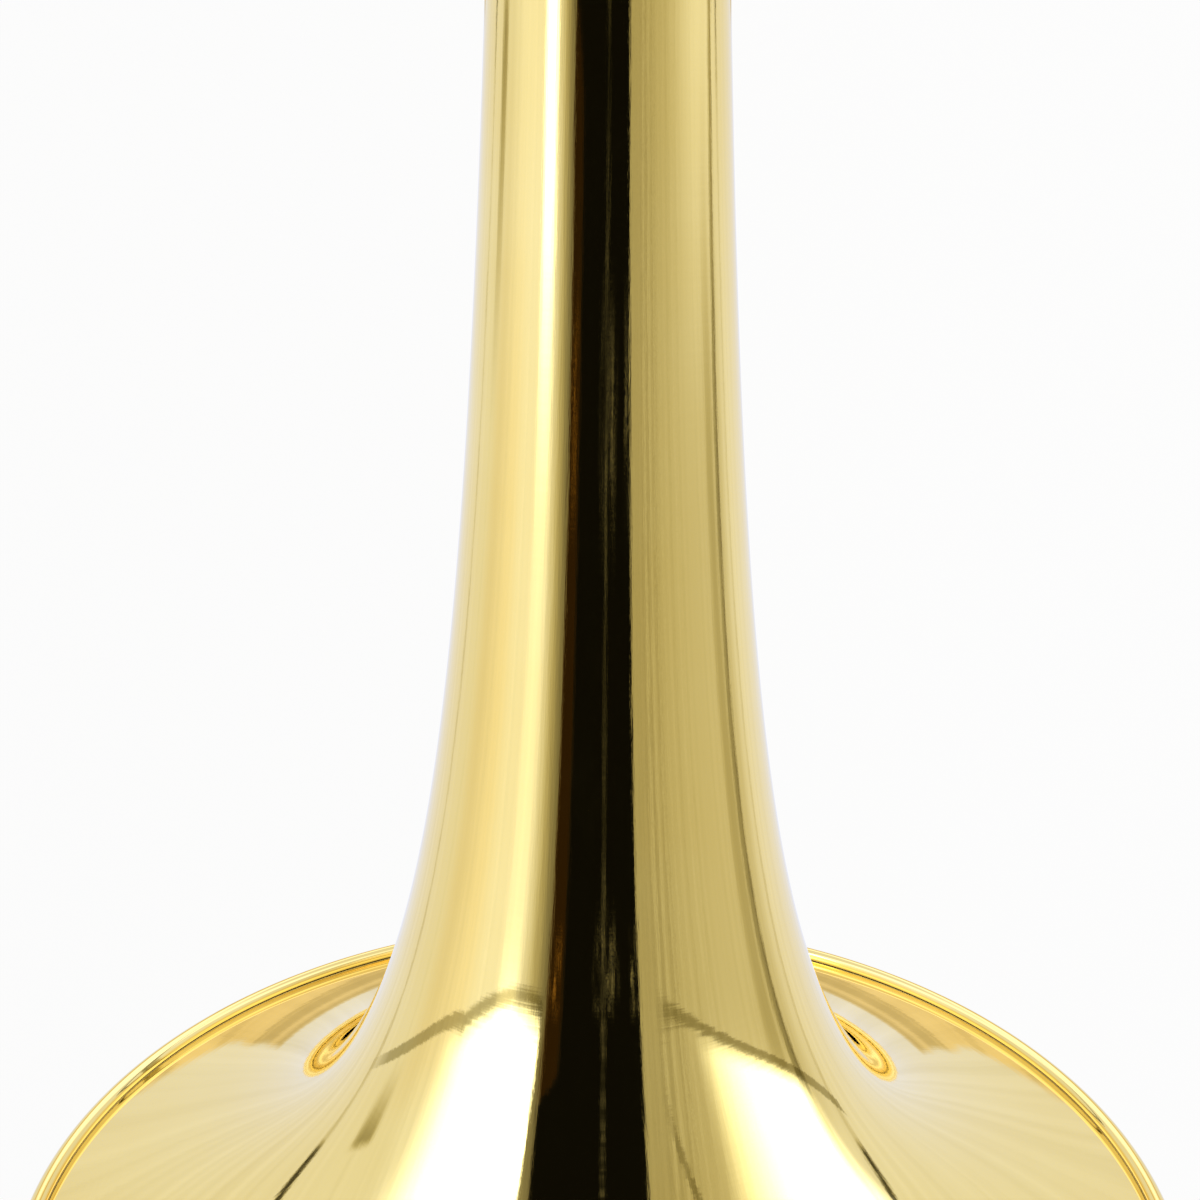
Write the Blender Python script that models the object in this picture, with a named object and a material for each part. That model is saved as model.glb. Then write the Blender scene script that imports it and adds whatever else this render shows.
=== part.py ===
"""Straight tenor trombone with a large bore, built piece by piece as it comes apart on a bench.

The instrument is in its playing place. +X points forward, the way the hand slide runs out and the bell
faces. +Y points left, towards the bell. +Z points up. The origin is the middle of the inner slide brace,
which the left hand holds. Sizes are in millimetres and are turned into metres when a mesh is made.
"""
import math

import bmesh
import bpy
from mathutils import Vector

MM = 0.001

# Fits between neighbours
SEAT_GAP = 0.3          # a fixed piece and what it is soldered, pressed or screwed to
SLIDE_GAP = 0.15        # a tube that slides inside another
SHANK_GAP = 0.12        # mouthpiece shank in its tapered socket
END_GAP = 0.4           # faces that meet end to end
TOOL_MARGIN = 3.0       # how far a cutting shape runs past what it cuts

# Smoothness of the solids
TUBE_SIDES = 16
ROD_SIDES = 12
BOW_SIDES = 12
BOW_STEPS = 12
BELL_SIDES = 32
FLARE_STEPS = 16
SMOOTH_ANGLE = 32.0

# Hand slide
LEG_SPACING = 84.0
BORE_RADIUS = 6.95
INNER_WALL = 0.3
STOCKING_STEP = 0.2
STOCKING_LENGTH = 115.0
OUTER_WALL = 0.35
SLIDE_TRAVEL = 570.0
SLIDE_OVERLAP = 94.4          # of inner tube that stays in the outer one at full travel
OUTER_TUBE_START = 25.6
INNER_TUBE_SHORT = 14.0       # the inner tubes end this far before the outer ones
SLEEVE_WALL = 0.55
SLEEVE_START = 26.5
SLEEVE_LENGTH = 163.5

# Cork barrels and their felts
BARREL_START = 12.0
BARREL_LENGTH = 42.0
BARREL_WALL = 1.4
BARREL_CLEARANCE = 1.0        # round the oversleeve
BARREL_FLOOR = 3.0
LIP_STEP = 0.6
LIP_WIDTH = 1.5
BUMPER_LENGTH = 9.7
BUMPER_WALL = 1.75

# Braces of the hand slide
BRACE_ROD_RADIUS = 4.75
HAND_BRACE_X = 92.0
INNER_RING_WIDTH = 18.0
OUTER_RING_WIDTH = 16.0
RING_WALL = 1.5
BOSS_RADIUS = 6.2
BOSS_REACH = 17.0             # from the leg's axis to the boss's open end
SOCKET_FLOOR = 0.3

# Mouthpiece and its receiver
RECEIVER_REAR = -60.0
RECEIVER_RADIUS = 8.8
MOUTH_RING_STEP = 1.4
MOUTH_RING_WIDTH = 4.0
SHANK_END_RADIUS = 6.35
SHANK_TAPER = 0.025
SHANK_INSERT = 26.7           # how far the shank goes into the receiver
MOUTHPIECE_LENGTH = 84.0
CUP_RADIUS = 12.7
CUP_DEPTH = 25.0
THROAT_RADIUS = 3.3
BACKBORE_RADIUS = 5.6
RIM_WIDTH = 6.9
RIM_LAND = 2.0
LEADPIPE_REAR = -29.5
LEADPIPE_LENGTH = 219.5
LEADPIPE_WALL = 0.35
LEADPIPE_VENTURI = 5.9
LEADPIPE_GAP = 0.2
LEADPIPE_END_GAP = 0.5
UPPER_TUBE_REAR = -28.0

# Slide tenon, bell lock nut and neck receiver
TENON_REAR = -44.0
TENON_TIP_RADIUS = 8.3
TENON_ROOT_RADIUS = 8.9
TENON_ROOT_X = -22.0
TENON_BODY_RADIUS = 8.8
COLLAR_RADIUS = 11.0
COLLAR_WIDTH = 3.0
COLLAR_FRONT = -18.0
LOWER_TUBE_REAR = -11.5
NUT_FRONT = -14.0
NUT_LENGTH = 22.0
NUT_WALL = 2.2
NUT_GAP = 0.4                 # the nut turns on the collar and on the thread
NECK_RECEIVER_REAR = -62.0
THREAD_SETBACK = 0.2          # behind the tenon's root
THREAD_LENGTH = 13.8
STOP_COLLAR_STEP = 1.1
STOP_COLLAR_WIDTH = 3.0
STOP_COLLAR_SPACE = 1.0
RECEIVER_SLEEVE_RADIUS = 10.4
NECKPIPE_FRONT = -50.0

# Bell
BELL_RADIUS = 108.0
BELL_LENGTH = 504.0
BELL_TAIL_X = -212.0
BELL_WALL = 0.5
FLARE_DEPTH = 110.0           # the flare is one piece from the rim back to here
THROAT_DEPTH = 267.0          # and the throat from there back to here
BEAD_RADIUS = 2.0
RIM_WIRE_RADIUS = 1.3
BEAD_END_ANGLE = -110.0
BEAD_STEPS = 8
LEAST_STEP = 4.0         # no two rings of the bell's sheet are drawn closer than this to a seam
FLARE_SCALE = 9.1             # length over which the flare opens
FLARE_POWER = 0.544
TAIL_RADIUS = 10.4
TAIL_TAPER_START = 210.0      # from here the tail narrows a little faster than the flare's law

# Bell section tubes and tuning slide
TUNING_WIDTH = 120.0
NECK_OFFSET = 8.0             # the neckpipe swings out this far from the slide's axis
TUBE_WALL = 0.5
NECK_BORE_FRONT = 7.15
NECK_BORE_REAR = 7.6
NECKPIPE_REAR = -205.0
NECK_BEND_FRONT = -95.0
NECK_BEND_REAR = -185.0
TUNING_SLEEVE_REAR = -292.0
LEG_WALL = 0.4
TUNING_TRAVEL = 60.0
LEG_OVERLAP = 16.0            # of leg that stays in its sleeve at full travel
TUNING_STRAIGHT_REAR = -322.0
TUNING_BOW_FRONT = -300.5
FERRULE_WALL = 0.9
FERRULE_LENGTH = 20.0
TUNING_FERRULE_REAR = -307.0

# Braces between tubes
FLANGE_RADIUS = 6.5
FLANGE_COLLAR_RADIUS = 5.2
FLANGE_HEIGHT = 1.6
FLANGE_COLLAR_HEIGHT = 7.0
CROSS_ROD_RADIUS = 4.0
FRONT_BRACE_X = -76.0
REAR_BRACE_X = -246.0
TUNING_BRACE_X = -314.5

# End bow of the hand slide
BOW_WALL = 0.5
BOW_BORE = 7.25
BOW_STRAIGHT = 11.5
BOW_FERRULE_BACK = 10.0
BOW_FERRULE_FRONT = 9.5
GUARD_HALF_ANGLE = 25.0
GUARD_WRAP = 70.0
GUARD_WALL = 0.7
HOLDER_RADIUS = 5.5
HOLDER_SOCKET_RADIUS = 4.0
HOLDER_LENGTH = 8.0
HOLDER_FLOOR = 2.0
BUMPER_TIP_LENGTH = 9.0
BUMPER_TIP_RADIUS = 5.5
BUMPER_FACE_RADIUS = 3.6

# Water key
KEY_ANGLE = 20.0              # round the end bow, from its lower leg
NIPPLE_RADIUS = 3.2
NIPPLE_BORE = 1.6
NIPPLE_HEIGHT = 3.2
CORK_RADIUS = 3.0
CORK_THICKNESS = 2.5
CUP_PLATE_RADIUS = 4.0
CUP_PLATE_THICKNESS = 1.4
KEY_PIVOT_SETBACK = 12.0      # the pivot lies this far behind the bow's centre
KEY_PIVOT_DROP = 5.5          # from the ferrule's surface to the pivot
KEY_HUB_RADIUS = 1.9
KEY_SCREW_RADIUS = 1.0
KEY_RUNNING_GAP = 0.2
KEY_ARM_THICKNESS = 1.6
KEY_ARM_HALF_WIDTH = 1.8
KEY_TOUCH_REACH = 28.0
KEY_TOUCH_RADIUS = 5.0
KEY_TOUCH_DROP = 3.6
SADDLE_EAR_WIDTH = 1.6
SADDLE_HALF_LENGTH = 4.0
SCREW_HEAD_RADIUS = 1.9
SCREW_HEAD_HEIGHT = 1.2
SPRING_WIRE_RADIUS = 0.3
SPRING_TURNS = 3
SPRING_PITCH = 1.1
SPRING_POINTS_PER_TURN = 10
SPRING_LEG = 4.0

# Slide lock
LOCK_RING_WIDTH = 8.4
LOCK_RING_WALL = 2.1
LOCK_RING_GAP = 0.3
LOCK_RING_FRONT = 52.2
LOCK_BEAD_WIDTH = 1.0
LOCK_SIDE_CLEARANCE = 3.0     # degrees between the resting hook and the lug
LUG_HALF_ANGLE = 8.0
LUG_START = 57.0
LUG_WIDTH = 3.2
LUG_RADIUS = 13.0
LUG_DIRECTION = -90.0         # degrees round the leg from +Y to +Z, so the lug points down
HOOK_ARM_ANGLE = 14.0
HOOK_FINGER_ANGLE = 45.0
HOOK_SPACE = 1.8              # between the lug and the finger
HOOK_FINGER_WIDTH = 3.5

# Sizes that follow from the ones above
UPPER_Z = LEG_SPACING / 2
LOWER_Z = -LEG_SPACING / 2
INNER_RADIUS = BORE_RADIUS + INNER_WALL
STOCKING_RADIUS = INNER_RADIUS + STOCKING_STEP
OUTER_BORE = STOCKING_RADIUS + SLIDE_GAP
OUTER_RADIUS = OUTER_BORE + OUTER_WALL
SLEEVE_BORE = OUTER_RADIUS + SLIDE_GAP
SLEEVE_RADIUS = SLEEVE_BORE + SLEEVE_WALL
OUTER_TUBE_END = OUTER_TUBE_START + SLIDE_TRAVEL + SLIDE_OVERLAP + INNER_TUBE_SHORT
INNER_TUBE_END = OUTER_TUBE_END - INNER_TUBE_SHORT
BARREL_BORE = SLEEVE_RADIUS + BARREL_CLEARANCE
BARREL_RADIUS = BARREL_BORE + BARREL_WALL
BARREL_END = BARREL_START + BARREL_LENGTH
LIP_RADIUS = BARREL_RADIUS + LIP_STEP
RECEIVER_FRONT = BARREL_START - SEAT_GAP
BELL_Y = NECK_OFFSET + TUNING_WIDTH
BELL_FRONT_X = BELL_TAIL_X + BELL_LENGTH
FLARE_EDGE_RADIUS = BELL_RADIUS - BEAD_RADIUS
NECK_OUTER_FRONT = NECK_BORE_FRONT + TUBE_WALL
NECK_OUTER_REAR = NECK_BORE_REAR + TUBE_WALL
NECK_LEG_RADIUS = NECK_BORE_REAR + LEG_WALL
NECK_SLEEVE_BORE = NECK_LEG_RADIUS + SLIDE_GAP
NECK_SLEEVE_RADIUS = NECK_SLEEVE_BORE + TUBE_WALL
BELL_SLEEVE_RADIUS = TAIL_RADIUS
BELL_SLEEVE_BORE = BELL_SLEEVE_RADIUS - TUBE_WALL
BELL_LEG_RADIUS = BELL_SLEEVE_BORE - SLIDE_GAP
BELL_LEG_BORE = BELL_LEG_RADIUS - LEG_WALL
LEG_FRONT = TUNING_SLEEVE_REAR + TUNING_TRAVEL + LEG_OVERLAP
TUNING_BOW_RADIUS = TUNING_WIDTH / 2
TUNING_CENTRE_Y = NECK_OFFSET + TUNING_BOW_RADIUS
BOW_START = OUTER_TUBE_END + END_GAP
BOW_CENTRE_X = BOW_START + BOW_STRAIGHT
BOW_BEND = LEG_SPACING / 2
BOW_RADIUS = BOW_BORE + BOW_WALL
BOW_FERRULE_RADIUS = OUTER_RADIUS + SEAT_GAP + 0.7
GUARD_BORE = BOW_RADIUS + SEAT_GAP
GUARD_RADIUS = GUARD_BORE + GUARD_WALL
MOUTHPIECE_RIM_X = RECEIVER_REAR + SHANK_INSERT - MOUTHPIECE_LENGTH
SHANK_END_X = RECEIVER_REAR + SHANK_INSERT
NUT_BORE = COLLAR_RADIUS + NUT_GAP
THREAD_RADIUS = NUT_BORE - SEAT_GAP
NUT_RADIUS = NUT_BORE + NUT_WALL
KEY_PIVOT_X = BOW_CENTRE_X - KEY_PIVOT_SETBACK
KEY_PIVOT_Z = LOWER_Z - BOW_FERRULE_RADIUS - KEY_PIVOT_DROP
LOCK_RING_BORE = BARREL_RADIUS + LOCK_RING_GAP
LOCK_RING_RADIUS = LOCK_RING_BORE + LOCK_RING_WALL
LOCK_RING_REAR = LOCK_RING_FRONT - LOCK_RING_WIDTH

X_AXIS = (1, 0, 0)
Y_AXIS = (0, 1, 0)
Z_AXIS = (0, 0, 1)


# Scene, materials and bodies

def clear_scene():
    for obj in list(bpy.data.objects):
        bpy.data.objects.remove(obj, do_unlink=True)


def finish_of(name, colour, roughness, metallic):
    material = bpy.data.materials.new(name)
    material.use_nodes = True
    shader = material.node_tree.nodes["Principled BSDF"]
    shader.inputs["Base Color"].default_value = (*colour, 1.0)
    shader.inputs["Roughness"].default_value = roughness
    shader.inputs["Metallic"].default_value = metallic
    return material


def body_at(name, place, parent=None):
    """An empty on the body's joint axis. The pieces of that body hang from it."""
    empty = bpy.data.objects.new(name, None)
    bpy.context.scene.collection.objects.link(empty)
    base = Vector((0, 0, 0))
    if parent is not None:
        empty.parent = parent
        base = Vector(parent["place_mm"])
    empty["place_mm"] = place
    empty.location = (Vector(place) - base) * MM
    return empty


def object_from(name, bm, body, material):
    """Takes a mesh in millimetres in the instrument's frame and hangs it from its body."""
    offset = Vector(body["place_mm"])
    for vert in bm.verts:
        vert.co = (vert.co - offset) * MM
    mesh = bpy.data.meshes.new(name)
    bm.to_mesh(mesh)
    bm.free()
    mesh.shade_smooth()
    mesh.set_sharp_from_angle(angle=math.radians(SMOOTH_ANGLE))
    mesh.materials.append(material)
    obj = bpy.data.objects.new(name, mesh)
    obj.parent = body
    bpy.context.scene.collection.objects.link(obj)
    return obj


def tool_from(name, bm, body):
    """A solid that only cuts or joins another one."""
    tool = object_from(name, bm, body, bpy.data.materials["tool"])
    tool.hide_render = True
    tool.display_type = "WIRE"
    return tool


def combine(obj, tool, operation):
    modifier = obj.modifiers.new(f"{operation.lower()}_{tool.name}", "BOOLEAN")
    modifier.operation = operation
    modifier.solver = "EXACT"
    modifier.object = tool
    return obj


def cut(obj, *tools):
    for tool in tools:
        combine(obj, tool, "DIFFERENCE")
    return obj


def join(obj, *tools):
    for tool in tools:
        combine(obj, tool, "UNION")
    return obj


# Shapes

def ring_points(centre, across, up, radius, sides):
    """One ring whose flat sides face along across and up."""
    step = 2 * math.pi / sides
    angles = [(k + 0.5) * step for k in range(sides)]
    return [centre + radius * (math.cos(a) * across + math.sin(a) * up) for a in angles]


def skin(rings, closed):
    """A body from rings of equal count. A closed one joins its last ring to its first."""
    bm = bmesh.new()
    loops = [[bm.verts.new(point) for point in ring] for ring in rings]
    pairs = list(zip(loops, loops[1:]))
    if closed:
        pairs.append((loops[-1], loops[0]))
    for first, second in pairs:
        count = len(first)
        for k in range(count):
            n = (k + 1) % count
            bm.faces.new((first[k], first[n], second[n], second[k]))
    if not closed:
        bm.faces.new(loops[0])
        bm.faces.new(list(reversed(loops[-1])))
    bmesh.ops.recalc_face_normals(bm, faces=bm.faces)
    return bm


def square_to(axis):
    """Two directions square to an axis, the same for every piece on that axis."""
    along = Vector(axis).normalized()
    reference = Vector(Y_AXIS) if abs(along.y) < 0.9 else Vector(Z_AXIS)
    across = (reference - along * reference.dot(along)).normalized()
    return along, across, along.cross(across)


def turned(profile, origin=(0, 0, 0), axis=X_AXIS, sides=TUBE_SIDES, closed=True):
    """Turns (distance, radius) points about an axis. A closed profile has a bore right through."""
    along, across, up = square_to(axis)
    start = Vector(origin)
    rings = [ring_points(start + along * u, across, up, r, sides) for u, r in profile]
    return skin(rings, closed)


def tube(start, end, bore, radius, origin, sides=TUBE_SIDES):
    return turned([(start, bore), (start, radius), (end, radius), (end, bore)], origin, sides=sides)


def rod(start, end, radius, origin, axis, sides=ROD_SIDES):
    return turned([(start, radius), (end, radius)], origin, axis, sides, closed=False)


def swept_tube(stations, sides=BOW_SIDES):
    """A tube along stations of (centre, across, up, bore, radius)."""
    outside = [ring_points(c, a, u, radius, sides) for c, a, u, _, radius in stations]
    inside = [ring_points(c, a, u, bore, sides) for c, a, u, bore, _ in stations]
    return skin(outside + inside[::-1], closed=True)


def sector(x_start, x_end, r_inside, r_outside, first, last, origin, steps=4):
    """Part of a ring about X between two angles in degrees, counted from +Y to +Z."""
    centre = Vector(origin)
    rings = []
    for k in range(steps + 1):
        angle = math.radians(first + (last - first) * k / steps)
        out = Vector((0, math.cos(angle), math.sin(angle)))
        corners = ((x_start, r_inside), (x_end, r_inside), (x_end, r_outside), (x_start, r_outside))
        rings.append([centre + Vector((x, 0, 0)) + out * r for x, r in corners])
    return skin(rings, closed=False)


def straight_block(low, high):
    bm = bmesh.new()
    bmesh.ops.create_cube(bm, size=1.0)
    centre = (Vector(low) + Vector(high)) / 2
    size = Vector(high) - Vector(low)
    for vert in bm.verts:
        vert.co = centre + Vector((vert.co.x * size.x, vert.co.y * size.y, vert.co.z * size.z))
    return bm


def lerp(a, b, t):
    return a + (b - a) * t


# Bell

def flare_radius(depth):
    """Outside radius of the bell at a depth behind the place where the flare meets its bead."""
    radius = FLARE_EDGE_RADIUS * (FLARE_SCALE / (depth + FLARE_SCALE)) ** FLARE_POWER
    full = BELL_LENGTH - BELL_WALL
    spare = FLARE_EDGE_RADIUS * (FLARE_SCALE / (full + FLARE_SCALE)) ** FLARE_POWER - TAIL_RADIUS
    along_tail = max(0.0, depth - TAIL_TAPER_START) / (full - TAIL_TAPER_START)
    return radius - spare * along_tail ** 2


def flare_slope(depth):
    step = 0.01
    return (flare_radius(depth + step) - flare_radius(depth)) / step


def flare_depths(start, end):
    """Where the sheet is drawn between two depths, close together near the rim."""
    full = BELL_LENGTH - BELL_WALL
    whole = [full * (k / FLARE_STEPS) ** 2.2 for k in range(FLARE_STEPS + 1)]
    return [start] + [d for d in whole if start + LEAST_STEP < d < end - LEAST_STEP] + [end]


def sheet_between(start, end):
    """The back and the inside of the sheet between two depths, as (distance behind the rim, radius)."""
    back = []
    inside = []
    for depth in flare_depths(start, end):
        slope = flare_slope(depth)
        lean = math.hypot(1.0, slope)
        radius = flare_radius(depth)
        setback = BELL_WALL + depth
        back.append((setback, radius))
        inside.append((setback + BELL_WALL * slope / lean, radius - BELL_WALL / lean))
    return back, inside


def in_place(outline):
    return [(BELL_FRONT_X - setback, radius) for setback, radius in outline]


def sheet_profile(start, end):
    back, inside = sheet_between(start, end)
    return in_place(back[::-1] + inside)


def flare_profile():
    """Up the back, round the bead, and back down the inside."""
    back, inside = sheet_between(0.0, FLARE_DEPTH)
    inside[0] = (0.0, FLARE_EDGE_RADIUS)
    bead_outer = []
    bead_inner = []
    for k in range(BEAD_STEPS + 1):
        angle = math.radians(lerp(180.0, BEAD_END_ANGLE, k / BEAD_STEPS))
        for radius, points in ((BEAD_RADIUS, bead_outer), (BEAD_RADIUS - BELL_WALL, bead_inner)):
            points.append((BEAD_RADIUS + radius * math.cos(angle), FLARE_EDGE_RADIUS + radius * math.sin(angle)))
    return in_place(back[::-1] + bead_inner[1:] + bead_outer[::-1] + inside[1:])


def bell_outline_at(x):
    return flare_radius(BELL_FRONT_X - BELL_WALL - x)


def make_bell(body, brass, steel):
    """One sheet in three lengths that meet face to face, and a steel wire in the bead of its rim."""
    bell_axis = (0, BELL_Y, LOWER_Z)
    throat = sheet_profile(FLARE_DEPTH, THROAT_DEPTH)
    stem = sheet_profile(THROAT_DEPTH, BELL_LENGTH - BELL_WALL)
    for name, profile in (("bell_flare", flare_profile()), ("bell_throat", throat), ("bell_stem", stem)):
        object_from(name, turned(profile, bell_axis, sides=BELL_SIDES), body, brass)
    sides = 8
    wire = []
    for k in range(sides):
        angle = 2 * math.pi * (k + 0.5) / sides
        wire.append((BELL_FRONT_X - BEAD_RADIUS + RIM_WIRE_RADIUS * math.cos(angle),
                     FLARE_EDGE_RADIUS + RIM_WIRE_RADIUS * math.sin(angle)))
    object_from("bell_rim_wire", turned(wire, bell_axis, sides=BELL_SIDES), body, steel)


# Braces of the bell section and the tuning slide

def flange(name, place, direction, tube_radius, cutter, body, material):
    """A foot that sits on a tube and holds a brace rod. The cutter is the tube with its gap."""
    foot = tube_radius + FLANGE_HEIGHT
    top = tube_radius + FLANGE_COLLAR_HEIGHT
    bore = CROSS_ROD_RADIUS + SEAT_GAP
    profile = [
        (tube_radius * 0.3, FLANGE_RADIUS),
        (foot, FLANGE_RADIUS),
        (foot + 1.4, FLANGE_COLLAR_RADIUS),
        (top, FLANGE_COLLAR_RADIUS),
        (top, bore),
        (foot + SEAT_GAP, bore),
    ]
    solid = turned(profile, place, direction, ROD_SIDES, closed=False)
    return cut(object_from(name, solid, body, material), cutter)


def cross_brace(prefix, x, left_radius, right_radius, cutters, body, material):
    """A brace along Y between the neck side, on the right, and the bell side, on the left."""
    depth = FLANGE_HEIGHT + 2 * SEAT_GAP
    right_place = (x, NECK_OFFSET if x < NECK_BEND_REAR else 0.0, LOWER_Z)
    left_place = (x, BELL_Y, LOWER_Z)
    flange(f"{prefix}_flange_neck", right_place, Y_AXIS, right_radius, cutters[0], body, material)
    flange(f"{prefix}_flange_bell", left_place, (0, -1, 0), left_radius, cutters[1], body, material)
    start = right_place[1] + right_radius + depth
    end = left_place[1] - left_radius - depth
    object_from(f"{prefix}_rod", rod(start, end, CROSS_ROD_RADIUS, (x, 0, LOWER_Z), Y_AXIS), body, material)


def leg_cutter(name, x, y, radius, body):
    """A straight length of tube with its gap, for cutting the foot of a flange."""
    reach = FLANGE_RADIUS + TOOL_MARGIN
    solid = rod(x - reach, x + reach, radius + SEAT_GAP, (0, y, LOWER_Z), X_AXIS, TUBE_SIDES)
    return tool_from(name, solid, body)


# Bell section

def neck_centre_y(x):
    """The neckpipe's smooth swing from the slide's axis to the tuning slide's leg."""
    t = min(max((NECK_BEND_FRONT - x) / (NECK_BEND_FRONT - NECK_BEND_REAR), 0.0), 1.0)
    return NECK_OFFSET * t * t * (3 - 2 * t)


def neck_bore(x):
    t = (NECKPIPE_FRONT - x) / (NECKPIPE_FRONT - NECKPIPE_REAR)
    return lerp(NECK_BORE_FRONT, NECK_BORE_REAR, t)


def make_neckpipe(body, brass):
    steps = 10
    xs = [lerp(NECK_BEND_FRONT, NECK_BEND_REAR, k / steps) for k in range(steps + 1)]
    xs = [NECKPIPE_FRONT] + xs + [NECKPIPE_REAR]
    stations = []
    for x in xs:
        slope = (neck_centre_y(x + 0.5) - neck_centre_y(x - 0.5))
        along = Vector((-1, -slope, 0)).normalized()
        up = Vector(Z_AXIS)
        centre = Vector((x, neck_centre_y(x), LOWER_Z))
        stations.append((centre, up.cross(along), up, neck_bore(x), neck_bore(x) + TUBE_WALL))
    object_from("neckpipe", swept_tube(stations, TUBE_SIDES), body, brass)


def stepped_ferrule(front, middle, rear, front_tube, rear_tube, wall, origin):
    """A sleeve over the joint between two tubes of unlike radius."""
    outside = max(front_tube, rear_tube) + SEAT_GAP + wall
    return turned([
        (front, front_tube + SEAT_GAP), (front, outside - 0.3), (front - 1.0, outside),
        (rear + 1.0, outside), (rear, outside - 0.3), (rear, rear_tube + SEAT_GAP),
        (middle, rear_tube + SEAT_GAP), (middle, front_tube + SEAT_GAP),
    ], origin)


def make_bell_section(body, brass, nickel, steel):
    make_bell(body, brass, steel)
    make_neckpipe(body, brass)
    neck = (0, NECK_OFFSET, LOWER_Z)
    bell = (0, BELL_Y, LOWER_Z)
    slide = (0, 0, LOWER_Z)

    neck_sleeve_front = NECKPIPE_REAR - END_GAP
    bell_sleeve_front = BELL_TAIL_X - END_GAP
    object_from("tuning_sleeve_neck", tube(TUNING_SLEEVE_REAR, neck_sleeve_front, NECK_SLEEVE_BORE,
                                           NECK_SLEEVE_RADIUS, neck), body, brass)
    object_from("tuning_sleeve_bell", tube(TUNING_SLEEVE_REAR, bell_sleeve_front, BELL_SLEEVE_BORE,
                                           BELL_SLEEVE_RADIUS, bell), body, brass)
    half = FERRULE_LENGTH / 2
    object_from("neckpipe_ferrule", stepped_ferrule(
        NECKPIPE_REAR + half, neck_sleeve_front, NECKPIPE_REAR - half, NECK_OUTER_REAR,
        NECK_SLEEVE_RADIUS, FERRULE_WALL, neck), body, nickel)
    tail_front_radius = bell_outline_at(BELL_TAIL_X + half)
    object_from("bell_ferrule", stepped_ferrule(
        BELL_TAIL_X + half, bell_sleeve_front, BELL_TAIL_X - half, tail_front_radius,
        BELL_SLEEVE_RADIUS, FERRULE_WALL, bell), body, nickel)

    thread_front = TENON_ROOT_X - THREAD_SETBACK
    thread_rear = thread_front - THREAD_LENGTH
    stop_front = thread_rear - STOP_COLLAR_SPACE
    stop_rear = stop_front - STOP_COLLAR_WIDTH
    object_from("neck_receiver", turned([
        (thread_front, TENON_ROOT_RADIUS + SEAT_GAP),
        (thread_front, THREAD_RADIUS),
        (thread_rear, THREAD_RADIUS),
        (thread_rear, RECEIVER_SLEEVE_RADIUS),
        (stop_front, RECEIVER_SLEEVE_RADIUS),
        (stop_front, THREAD_RADIUS + STOP_COLLAR_STEP),
        (stop_rear, THREAD_RADIUS + STOP_COLLAR_STEP),
        (stop_rear, RECEIVER_SLEEVE_RADIUS),
        (NECK_RECEIVER_REAR + 2.0, RECEIVER_SLEEVE_RADIUS - 0.4),
        (NECK_RECEIVER_REAR, NECK_OUTER_FRONT + SEAT_GAP + 0.8),
        (NECK_RECEIVER_REAR, NECK_OUTER_FRONT + SEAT_GAP),
        (NECKPIPE_FRONT + SEAT_GAP, NECK_OUTER_FRONT + SEAT_GAP),
        (NECKPIPE_FRONT + SEAT_GAP, NECK_BORE_FRONT),
        (TENON_REAR - SEAT_GAP, NECK_BORE_FRONT),
        (TENON_REAR - SEAT_GAP, TENON_TIP_RADIUS + SEAT_GAP),
    ], slide), body, nickel)

    front_neck = leg_cutter("front_brace_neck_tool", FRONT_BRACE_X, 0.0, neck_bore(FRONT_BRACE_X) + TUBE_WALL, body)
    reach = FLANGE_RADIUS + TOOL_MARGIN
    bell_tool = turned([
        (FRONT_BRACE_X - reach, bell_outline_at(FRONT_BRACE_X - reach) + SEAT_GAP),
        (FRONT_BRACE_X + reach, bell_outline_at(FRONT_BRACE_X + reach) + SEAT_GAP),
    ], bell, sides=BELL_SIDES, closed=False)
    front_bell = tool_from("front_brace_bell_tool", bell_tool, body)
    cross_brace("front_brace", FRONT_BRACE_X, bell_outline_at(FRONT_BRACE_X),
                neck_bore(FRONT_BRACE_X) + TUBE_WALL, (front_neck, front_bell), body, nickel)
    rear_neck = leg_cutter("rear_brace_neck_tool", REAR_BRACE_X, NECK_OFFSET, NECK_SLEEVE_RADIUS, body)
    rear_bell = leg_cutter("rear_brace_bell_tool", REAR_BRACE_X, BELL_Y, BELL_SLEEVE_RADIUS, body)
    cross_brace("rear_brace", REAR_BRACE_X, BELL_SLEEVE_RADIUS, NECK_SLEEVE_RADIUS,
                (rear_neck, rear_bell), body, nickel)


# Tuning slide

def tuning_bow_stations():
    """From the neck leg round to the bell leg, growing from one bore to the other."""
    up = Vector(Z_AXIS)
    places = [(Vector((TUNING_BOW_FRONT, NECK_OFFSET, LOWER_Z)), Vector((0, -1, 0)), 0.0)]
    for k in range(BOW_STEPS + 1):
        t = k / BOW_STEPS
        angle = math.pi * t
        out = Vector((-math.sin(angle), -math.cos(angle), 0))
        centre = Vector((TUNING_STRAIGHT_REAR, TUNING_CENTRE_Y, LOWER_Z)) + out * TUNING_BOW_RADIUS
        places.append((centre, out, t))
    places.append((Vector((TUNING_BOW_FRONT, BELL_Y, LOWER_Z)), Vector((0, 1, 0)), 1.0))
    stations = []
    for centre, out, t in places:
        bore = lerp(NECK_BORE_REAR, BELL_LEG_BORE, t)
        stations.append((centre, out, up, bore, bore + TUBE_WALL))
    return stations


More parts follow.
